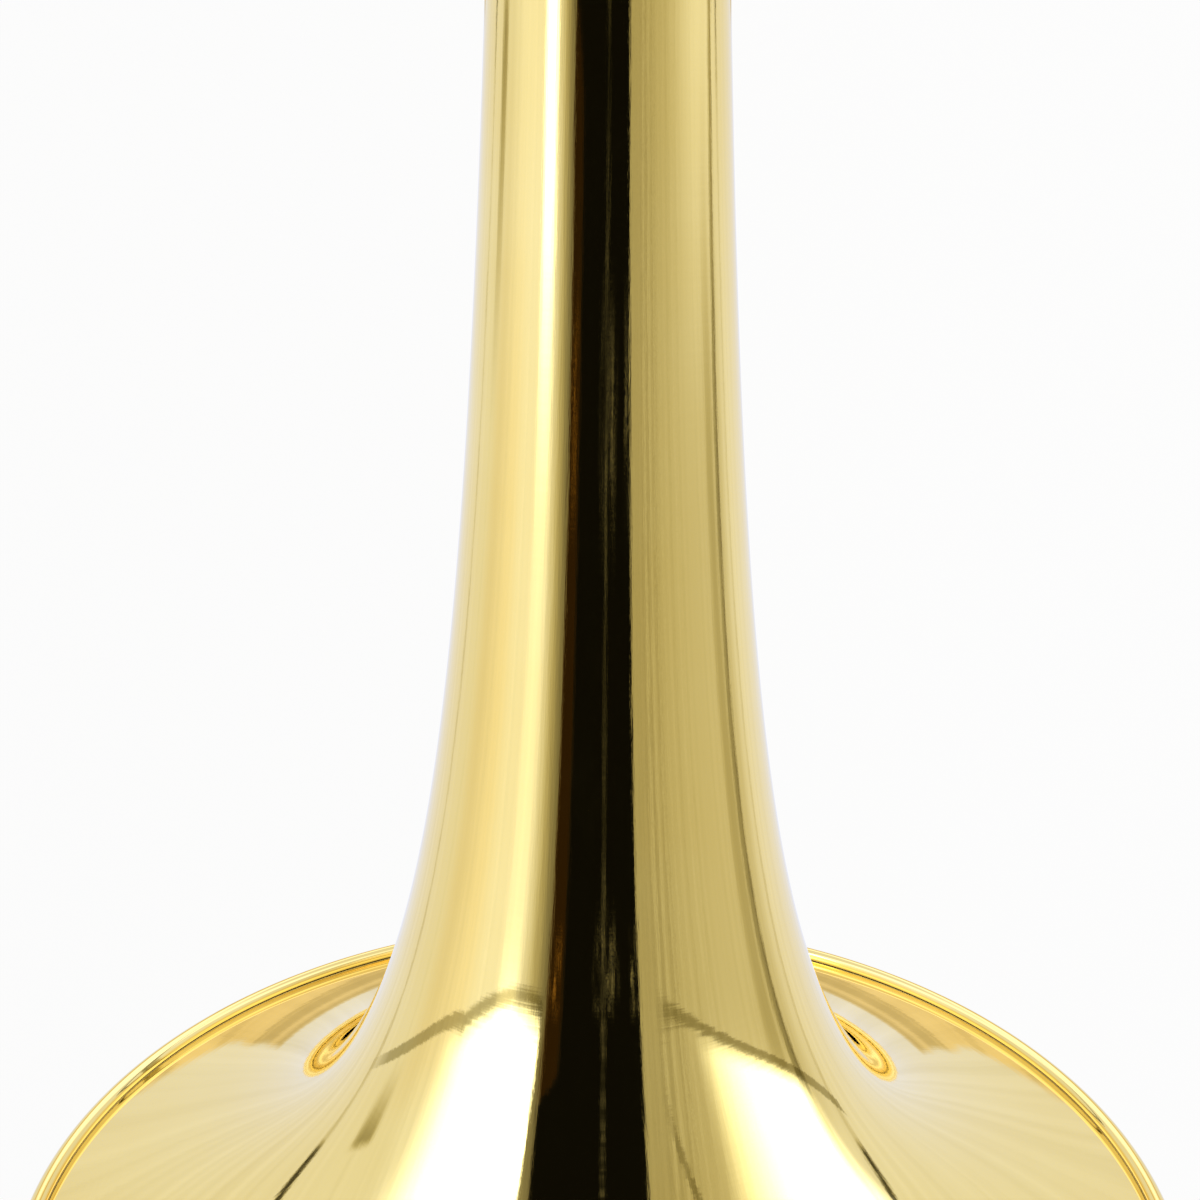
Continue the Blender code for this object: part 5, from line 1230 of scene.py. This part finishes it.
# %% Receivers and nut
SHANK_END_RADIUS = 6.35
SHANK_TAPER = 0.025
SHANK_GAP = 0.12
SHANK_INSERT = 26.7
BARREL_BORE = SLEEVE_RADIUS + 1.0
BARREL_RADIUS = BARREL_BORE + 1.4
COLLAR_RADIUS = 11.0
NUT_BORE = COLLAR_RADIUS + 0.4
NUT_RADIUS = NUT_BORE + 2.2
TUBE_SEAT = INNER_RADIUS + SLIDE_GAP
THREAD_PITCH = 1.5
THREAD_TURNS = 8


def receiver_outline():
    rear, front = span("mouthpiece_receiver")
    shank_end = rear + SHANK_INSERT
    deep = SHANK_END_RADIUS + SHANK_GAP
    mouth = SHANK_END_RADIUS + SHANK_TAPER * SHANK_INSERT + SHANK_GAP
    ring = RECEIVER_RADIUS + 1.4
    return [(rear + 0.6, mouth), (rear, mouth + 0.6), (rear, ring - 1.2),
            *bead(rear + 1.7, ring - 0.8, 0.8, 3.0), (rear + 3.8, ring - 1.15),
            (rear + 5.2, RECEIVER_RADIUS + 0.1),
            *bead(rear + 8.0, RECEIVER_RADIUS, 0.3, 1.2), (rear + 12.0, RECEIVER_RADIUS),
            (front, RECEIVER_RADIUS), (front, TUBE_SEAT), (-30.0, TUBE_SEAT), (-30.0, deep - 0.1),
            (shank_end + 0.3, deep)]


def tenon_outline():
    rear, front = span("slide_tenon")
    return [(rear, BORE), (rear, 8.3), (-22.0, 8.9), (-21.0, 8.9), (-21.0, COLLAR_RADIUS),
            (-18.0, COLLAR_RADIUS), (-18.0, RECEIVER_RADIUS), (front, RECEIVER_RADIUS),
            (front, TUBE_SEAT), (-11.8, TUBE_SEAT), (-11.8, BORE)]


def neck_receiver_outline():
    rear, front = span("neck_receiver")
    outline = [(front, 9.2), (front, NUT_BORE - 0.5)]
    for x in (front - 0.8 - k * THREAD_PITCH for k in range(THREAD_TURNS)):
        outline += corner(x, NUT_BORE - SEAT_GAP, (0, -0.45), (-THREAD_PITCH / 2, 0))
    outline += corner(front, 0, (-13.6, 10.4), (-14.8, 10.4), (-14.8, 11.4))
    outline += bead(front - 16.3, 11.55, 0.65, 2.6)[::-1] + corner(front, 0, (-17.8, 11.4), (-17.8, 10.4))
    outline += bead(front - 21.0, 10.35, 0.3, 1.2)[::-1]
    outline += corner(rear, 0, (6.0, 10.3), (2.0, 9.6), (0, 8.75), (0, 7.95))
    return outline + [(-49.7, 7.95), (-49.7, 7.15), (-44.3, 7.15), (-44.3, 8.6)]


def nut_outline():
    rear, front = span("bell_lock_nut")
    back = corner(rear, NUT_RADIUS, (0, -1.0), (0.8, -0.1), (2.6, -0.1), (3.1, -0.7), (4.0, -0.7), (4.5, -0.55))
    face = corner(front, NUT_RADIUS, (-6.0, -0.55), (-5.5, -0.7), (-4.6, -0.7), (-4.1, -0.1), (-2.6, -0.1),
                  (-1.2, -0.8), (-0.2, -2.0))
    return [(rear, NUT_BORE), *back, *face, (front, 9.1), (front - 3.4, 9.1), (front - 3.4, NUT_BORE)]


def barrel_outline(*beads):
    """beads are (place, height, width), and one lies under the lock ring to hold it."""
    rear, front = span("cork_barrel_lower")
    outline = [(rear, TUBE_SEAT), *corner(rear, BARREL_RADIUS, (0, -1.1), (0.3, -0.6), (1.1, 0))]
    for x, height, width in beads:
        outline += bead(x, BARREL_RADIUS, height, width)
    outline += corner(front, BARREL_RADIUS, (-1.6, 0), (-1.5, 0.5), (-1.1, 0.6), (-0.4, 0.6), (0, 0.2))
    outline += corner(front, BARREL_BORE, (0, 0.4), (-0.8, 0))
    return outline + [(rear + 3.0, BARREL_BORE), (rear + 3.0, TUBE_SEAT)]


barrel_rear = span("cork_barrel_lower")[0]
upper_barrel = barrel_outline((barrel_rear + 4.0, 0.35, 1.4), (barrel_rear + 6.0, 0.35, 1.4))
lower_barrel = barrel_outline((43.0, 0.6, 1.0))
for name, body, outline, place, node, edge, segments in (
        ("mouthpiece_socket", "inner_slide", receiver_outline(), UPPER, "mouthpiece_receiver", 0.15, 64),
        ("bell_tenon", "inner_slide", tenon_outline(), LOWER, "slide_tenon", 0.2, 64),
        ("neck_socket", "bell_section", neck_receiver_outline(), LOWER, "neck_receiver", 0.08, 64),
        ("lock_nut", "bell_lock_nut", nut_outline(), LOWER, "bell_lock_nut", 0.15, 96),
        ("cork_cup_upper", "inner_slide", upper_barrel, UPPER, "cork_barrel_upper", 0.08, 64),
        ("cork_cup_lower", "inner_slide", lower_barrel, LOWER, "cork_barrel_lower", 0.08, 64)):
    add_turned(name, body, turned_nickel, outline, place, node, edge, segments)
nut_rear, nut_front = span("bell_lock_nut")
add_ribs("lock_nut_reeding", "bell_lock_nut", 72, NUT_RADIUS - 0.55, nut_rear + 4.5, nut_front - 6.0)
for leg, place in LEGS.items():
    rear, front = span(f"bumper_felt_{leg}")
    add_turned(f"felt_ring_{leg}", "inner_slide", felt, [(rear, 7.5), (rear, 9.2), (front, 9.3), (front, 7.6)],
               place, f"bumper_felt_{leg}", 0.5)
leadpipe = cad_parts["leadpipe"]
leadpipe.data.materials[0] = tube_brass[1]
leadpipe.visible_glossy = False
print("pieces so far:", len(made))

# %% [markdown]
# ## Mouthpiece
# A mouthpiece is one turned piece of plated brass: a rounded rim for the lips, a bowl that narrows to the
# throat, a waist outside, and a tapered shank. Its outline is a smooth curve through a few turning sizes,
# so the spline below does the work of the lathe's form tool.

# %% Mouthpiece
MOUTHPIECE_LENGTH = 84.0
CUP_RADIUS = 12.7
CUP_DEPTH = 25.0
THROAT_RADIUS = 3.3
BACKBORE_RADIUS = 5.6
RIM_WIDTH = 6.9
RIM_LAND = 2.0


def smooth_curve(points, steps=6):
    """A curve through every point, with soft bends."""
    ends = [points[0], *points, points[-1]]
    result = []
    for k in range(len(points) - 1):
        p0, p1, p2, p3 = (np.array(p, dtype=float) for p in ends[k:k + 4])
        for t in shares(steps)[:-1]:
            result.append(tuple(0.5 * (2 * p1 + (p2 - p0) * t + (2 * p0 - 5 * p1 + 4 * p2 - p3) * t ** 2
                                       + (3 * p1 - p0 - 3 * p2 + p3) * t ** 3)))
    return result + [tuple(points[-1])]


def mouthpiece_outline():
    """Distances run forward from the rim."""
    outer = CUP_RADIUS + RIM_WIDTH
    land = CUP_RADIUS + (RIM_WIDTH - RIM_LAND) / 2
    rim = [(0.0, land), (0.0, land + RIM_LAND), (0.25, outer - 1.6), (1.1, outer - 0.5), (2.6, outer)]
    bowl = smooth_curve([*corner(0.0, outer, (2.6, 0), (7.0, -0.25), (12.0, -0.9), (20.0, -2.5), (28.0, -5.4),
                                 (34.0, -8.1)), (39.0, 9.6), (42.5, 8.0), (44.0, 7.9)])
    knot = [(44.5, 8.2), *bead(46.2, 8.0, 0.75, 2.8), (48.0, 7.8), (50.0, 7.35)]
    start = MOUTHPIECE_LENGTH - SHANK_INSERT - 1.0
    shank = [(start, SHANK_END_RADIUS + SHANK_TAPER * (MOUTHPIECE_LENGTH - start)),
             *corner(MOUTHPIECE_LENGTH, SHANK_END_RADIUS, (-0.3, 0), (0, -0.2)),
             (MOUTHPIECE_LENGTH, BACKBORE_RADIUS)]
    bore = corner(CUP_DEPTH, THROAT_RADIUS, (14.0, 0.1), (8.0, 0), (1.0, 0))
    depths = [blended(CUP_DEPTH - 0.4, 1.6, t) for t in shares(22)]
    cup = [(depth, blended(THROAT_RADIUS, CUP_RADIUS, math.sqrt(1 - (depth / CUP_DEPTH) ** 1.7)))
           for depth in depths]
    bite = corner(0.0, CUP_RADIUS, (0.7, 0.35), (0.2, 1.0))
    return rim + bowl[1:] + knot + shank + bore + cup + bite


mouth_start = span("mouthpiece")[0]
mouth_outline = [(mouth_start + u, r) for u, r in mouthpiece_outline()]
piece("mouthpiece_cup", "mouthpiece", silver, [turned(mouth_outline, UPPER, edge=0.1, segments=128)],
      "mouthpiece", sharp=50.0)
print("mouthpiece rim at", round(mouth_start, 1), "mm")

# %% [markdown]
# ## End of the slide
# The outer bend is guarded by a strip of nickel silver, and a rubber bumper sits in a small cup at its tip,
# so that the instrument can stand on its slide.

# %% Guard and bumper
GUARD_WALL = 0.7
GUARD_HALF_ANGLE = 25.0
GUARD_WRAP = 70.0


def guard_shape():
    bore = BOW_RADIUS + 0.05
    outer = BOW_RADIUS + SEAT_GAP + GUARD_WALL
    section = [(math.radians(GUARD_WRAP * (2 * t - 1)), outer - 0.12 * (t in (0, 1))) for t in shares(24)]
    section += [(math.radians(GUARD_WRAP * (1 - 2 * t)), bore) for t in shares(24)]
    rings = []
    for t in shares(40):
        centre, out = end_bow_frame(90.0 + GUARD_HALF_ANGLE * (2 * t - 1))
        thin = 0.25 if t in (0, 1) else 0.0
        rings.append([centre + (radius - thin * (radius > bore)) * (math.cos(a) * out + math.sin(a) * ACROSS)
                      for a, radius in section])
    return skin(rings, closed=False)


piece("slide_guard_strip", "outer_slide", cast_nickel, [guard_shape()], "bow_guard")
guard_top = END_BOW_X + END_BOW_RADIUS + BOW_RADIUS + SEAT_GAP + GUARD_WALL
tip = span("bumper_holder")[1]
holder_outline = [*corner(guard_top, 0, (-2.2, 6.9), (-0.4, 6.6), (0.8, 5.4), (2.0, 5.1)), (tip - 2.0, 5.1),
                  *bead(tip - 0.9, 5.1, 0.4, 1.5), (tip, 5.0), (tip, 4.0), (guard_top + 2.3, 4.0)]
piece("bumper_cup", "outer_slide", turned_nickel, [turned(holder_outline, edge=0.12, closed=False)],
      "bumper_holder")
rear, front = span("rubber_bumper")
rubber_outline = [(rear, 3.7), *corner(tip, 0, (0.3, 3.7), (0.3, 4.9), (0.9, 5.4))]
rubber_outline += smooth_curve([
    (tip + 2.0, 5.5), *corner(front, 0, (-3.6, 5.35), (-1.6, 4.9), (-0.5, 4.3), (0, 3.6))])
piece("bumper_rubber", "outer_slide", rubber, [turned(rubber_outline, closed=False)], "rubber_bumper")
print("bumper face at", round(front, 2), "mm")

# %% [markdown]
# ## Water key
# Moisture gathers in the lowest bend, and the water key lets it out. A cork pad shuts a small nipple, a
# lever opens it, and a wound spring shuts it again. The lever is filed from one strip, so its side view is
# drawn and pulled out to its width. The spring is a spiral curve with a round section, made by geometry
# nodes.

# %% Water key sizes
KEY_ANGLE = 20.0
NIPPLE_RADIUS = 3.2
NIPPLE_HEIGHT = 3.2
KEY_HUB = 1.9
KEY_SCREW = 1.0
KEY_HALF_WIDTH = 1.8
EAR_WALL = 1.6
EAR_ROUND = 2.6
WIRE_RADIUS = 0.3
COIL_RADIUS = KEY_HUB + 0.2 + WIRE_RADIUS
SPRING_TURNS = 3
SPRING_LENGTH = SPRING_TURNS * 1.1
SPRING_LEG = 4.0
SADDLE_SEAT = OUTER_RADIUS + SEAT_GAP + BOW_FERRULE_WALL
PIVOT = np.array((END_BOW_X - 12.0, 0.0, LOWER_Z - SADDLE_SEAT - 5.5))
EAR_LOW = KEY_HALF_WIDTH + SEAT_GAP
SPRING_START = EAR_LOW + WIRE_RADIUS
HUB_END = EAR_LOW + SPRING_LENGTH + 2 * WIRE_RADIUS + 0.2
EAR_HIGH = HUB_END + SEAT_GAP
key_centre, key_out = end_bow_frame(KEY_ANGLE)

# %% Nipple, cork and lever
outside = corner(NIPPLE_RADIUS, 0, (0.5, -0.2), (0.9, 0), (0.9, 0.35), (0.5, 0.7), (-0.1, 1.2), (-0.4, 1.8))
follows = (1.0, 1.0, 1.0, 0.9, 0.5, 0.1)
nipple = [(*point, follow) for point, follow in zip(outside, follows)]
lip = corner(NIPPLE_RADIUS, NIPPLE_HEIGHT, (-0.5, -0.5), (-0.7, -0.05), (-0.95, 0), (-1.45, -0.1), (-1.6, -0.4))
nipple += [(*point, 0.0) for point in lip + [(1.6, 0.0)]]
piece("key_nipple", "outer_slide", turned_nickel,
      [saddle(key_centre, key_out, np.cross(key_out, ACROSS), BOW_RADIUS, nipple)], "water_key_nipple")

cork_start = BOW_RADIUS + NIPPLE_HEIGHT + SEAT_GAP
cork_end = cork_start + 2.5
piece("key_cork", "water_key", cork, [rod(cork_start, cork_end, 3.0, key_centre, key_out, 48, 0.5)],
      "water_key_cork")


def lever_outline(cup_place, touch):
    """Side view of the lever in X and Z: two tapering arms that meet round the hub."""
    arms = []
    for end, thick in ((cup_place, 0.75), (touch, 0.65)):
        way = (end - PIVOT) / np.linalg.norm(end - PIVOT)
        side = np.array((-way[2], 0.0, way[0])) * thick
        arms.append((math.atan2(way[2], way[0]), [end - side, end + side]))
    (cup_angle, cup_arm), (touch_angle, touch_arm) = arms
    touch_angle %= 2 * math.pi
    spread = math.asin(0.95 / KEY_HUB)

    def hub_arc(first, last):
        angles = [blended(first, last, t) for t in shares(10)]
        return [PIVOT + KEY_HUB * np.array((math.cos(angle), 0.0, math.sin(angle))) for angle in angles]

    outline = [*cup_arm, *hub_arc(cup_angle + spread, touch_angle - spread), *touch_arm,
               *hub_arc(touch_angle + spread, cup_angle - spread + 2 * math.pi)]
    return [(p[0], p[2]) for p in outline]


cup_floor = cork_end + SEAT_GAP
touch = PIVOT + np.array((-28.0, 0.0, -3.6))
touch_up = np.array((-3.6, 0.0, 28.0)) / math.hypot(3.6, 28.0)
arms = lever_outline(key_centre + key_out * (cup_floor + 0.7), touch)
arms = extruded(arms, -KEY_HALF_WIDTH, KEY_HALF_WIDTH, 0.4)
cup_outline = [*corner(cup_floor, 0, (1.9, 1.2), (1.5, 2.6), (0.5, 3.9)), (cork_end - 1.0, 4.05),
               (cork_end - 1.0, 3.25), (cup_floor, 3.25)]
cup = turned(cup_outline, key_centre, key_out, 56, edge=0.25, closed=False)
hub = rod(-KEY_HALF_WIDTH - 0.02, HUB_END, KEY_HUB - 0.02, PIVOT, ACROSS, 40)
pad_outline = [(-0.9, 4.2), (-0.3, 5.0), (0.35, 5.0), (0.85, 4.3), (0.55, 2.4), (0.45, 0.6)]
pad = turned(pad_outline, touch, touch_up, 56, edge=0.25, closed=False)
piece("key_lever", "water_key", cast_nickel, [arms, cup, hub, pad], "water_key_lever")

# %% Key saddle and screw


def ear_shape(low, high):
    """One ear: straight sides that end in a round about the pivot."""
    top = LOWER_Z - OUTER_RADIUS - 0.8
    arc = [(PIVOT[0] + EAR_ROUND * math.cos(-math.pi * t), PIVOT[2] + EAR_ROUND * math.sin(-math.pi * t))
           for t in shares(12)]
    return extruded([(arc[0][0] + 1.2, top), *arc, (arc[-1][0] - 1.2, top)], low, high, 0.3)


def sector(section_at, first, last):
    """Part of a ring about the lower leg between two angles from straight down."""
    rings = []
    for t in shares(24):
        angle = blended(first, last, t)
        out = np.array((0.0, math.sin(angle), -math.cos(angle)))
        rings.append([np.array((u, 0.0, LOWER_Z)) + out * r for u, r in section_at(t in (0, 1))])
    return skin(rings, closed=False)


def base_section(at_end):
    """Section of the curved plate that lies on the ferrule under both ears."""
    low, high = SADDLE_SEAT + 0.05, SADDLE_SEAT + 1.55 - 0.35 * at_end
    x0, x1 = PIVOT[0] - 4.6, PIVOT[0] + 4.6
    return rounded([(x0, low), (x0, high), (x1, high), (x1, low)], 0.4)


first = math.asin(-(EAR_LOW + EAR_WALL + 0.4) / (SADDLE_SEAT + 0.05))
last = math.asin((EAR_HIGH + EAR_WALL + 0.4) / (SADDLE_SEAT + 0.05))
ears = [ear_shape(-EAR_LOW - EAR_WALL, -EAR_LOW), ear_shape(EAR_HIGH, EAR_HIGH + EAR_WALL)]
piece("key_saddle", "outer_slide", cast_nickel, [sector(base_section, first, last), *ears],
      "water_key_saddle")


def screw_shapes():
    """A cheese head with a slot, which is two half heads with a gap, on a plain shank."""
    head = EAR_HIGH + EAR_WALL + SEAT_GAP * 0.3
    shank = rod(-EAR_LOW - EAR_WALL - 0.4, head + 0.5, KEY_SCREW, PIVOT, ACROSS, 32)
    base = rod(head, head + 0.6, 1.9, PIVOT, ACROSS, 40, edge=0.15)
    edge = math.asin(0.25 / 1.85)
    halves = [extruded([(PIVOT[0] + math.cos(a) * 1.85, PIVOT[2] + way * math.sin(a) * 1.85)
                        for a in np.linspace(edge, math.pi - edge, 18)], head + 0.5, head + 1.4, 0.12)
              for way in (1, -1)]
    return [shank, base, *halves]


piece("key_screw", "outer_slide", steel, screw_shapes(), "water_key_screw")

# %% Spring tree
SPRING_SIZES = {
    "Turns": float(SPRING_TURNS), "Coil Radius": COIL_RADIUS * MM, "Length": SPRING_LENGTH * MM,
    "Wire Radius": WIRE_RADIUS * MM, "Place": (PIVOT[0] * MM, SPRING_START * MM, PIVOT[2] * MM),
}


def make_spring_tree():
    graph = GeometryGraph("key_spring", SPRING_SIZES)
    size = graph.size
    coil = graph.add("GeometryNodeCurveSpiral", (), {
        "Resolution": 32, "Rotations": size("Turns"), "Start Radius": size("Coil Radius"),
        "End Radius": size("Coil Radius"), "Height": size("Length")})
    section = graph.add("GeometryNodeCurvePrimitiveCircle", {"mode": "RADIUS"},
                        {"Resolution": 12, "Radius": size("Wire Radius")})
    wire = graph.add("GeometryNodeCurveToMesh", (), {
        "Curve": coil, "Profile Curve": section, "Fill Caps": True})
    return graph.give(graph.add("GeometryNodeTransform", (), {
        "Geometry": wire, "Rotation": (-math.pi / 2, -math.pi / 2, 0.0), "Translation": size("Place")}))


spring_mesh = run_tree(make_spring_tree(), "key_spring_coil", SPRING_SIZES, steel[1])
point_outwards(spring_mesh)
finish_piece("key_spring_coil", spring_mesh, "outer_slide", steel, "water_key_spring")
spring_legs = [rod(0.0, SPRING_LEG, WIRE_RADIUS, PIVOT + (0, y, COIL_RADIUS), (way, 0, 0), 16, edge=0.08)
               for y, way in ((SPRING_START, 1), (SPRING_START + SPRING_LENGTH, -1))]
piece("key_spring_legs", "outer_slide", steel, spring_legs)
print("water key made, pieces so far:", len(made))

# %% [markdown]
# ## Slide lock
# A reeded ring turns on the lower cork barrel. Its hook swings in front of a lug on the outer slide, so
# that the slide can't run out when the instrument is carried.

# %% Slide lock
RING_FRONT = 52.2
RING_BORE = BARREL_RADIUS + SEAT_GAP
RING_RADIUS = RING_BORE + 2.1
LUG_HALF_ANGLE = 8.0
HOOK_START = -(LUG_HALF_ANGLE + 3.0 + 45.0)


def ring_sector(x0, x1, r0, r1, first, last):
    """Part of a ring about the lower leg between two angles from straight down, with soft edges."""
    def section(at_end):
        trim = 0.25 * at_end
        return rounded([(x0 + trim, r0), (x1 - trim, r0), (x1 - trim, r1 - trim), (x0 + trim, r1 - trim)], 0.35)

    return sector(section, math.radians(first), math.radians(last))


lock_rear, lock_front = span("slide_lock_ring")
lug_rear, lug_front = span("lock_lug")
grooves = [(0.5, -0.05), (1.3, -0.05), (1.7, -0.5)]
lock_outline = [(lock_rear, RING_BORE), *corner(lock_rear, RING_RADIUS, (0, -0.5), *grooves),
                *corner(RING_FRONT, RING_RADIUS, *((-x, r) for x, r in grooves[::-1]), (0, -0.5)),
                (RING_FRONT, RING_BORE)]
finger = lug_front + 1.8
hook = [
    ring_sector(RING_FRONT - 1.4, lock_front, RING_BORE + 0.62, RING_RADIUS - 0.2,
                HOOK_START, HOOK_START + 14.0),
    ring_sector(finger, finger + 3.5, RING_BORE + 0.7, RING_RADIUS - 0.3,
                HOOK_START + 1.0, HOOK_START + 45.0),
]
piece("lock_ring", "slide_lock", turned_nickel, [turned(lock_outline, LOWER, edge=0.12, segments=96), *hook],
      "slide_lock_ring")
add_ribs("lock_ring_reeding", "slide_lock", 66, RING_RADIUS - 0.5, lock_rear + 1.7, RING_FRONT - 1.7)
lug = ring_sector(lug_rear, lug_front, SLEEVE_RADIUS + 0.02, 13.0, -LUG_HALF_ANGLE, LUG_HALF_ANGLE)
piece("lock_stop", "outer_slide", cast_nickel, [lug], "lock_lug")
print("pieces made:", len(made))

# %% [markdown]
# ## Finish
# The triangles of all the made pieces are counted.

# %% Count the triangles
triangles = sum(len(p.vertices) - 2 for obj in made for p in obj.data.polygons)
print("triangles:", triangles)
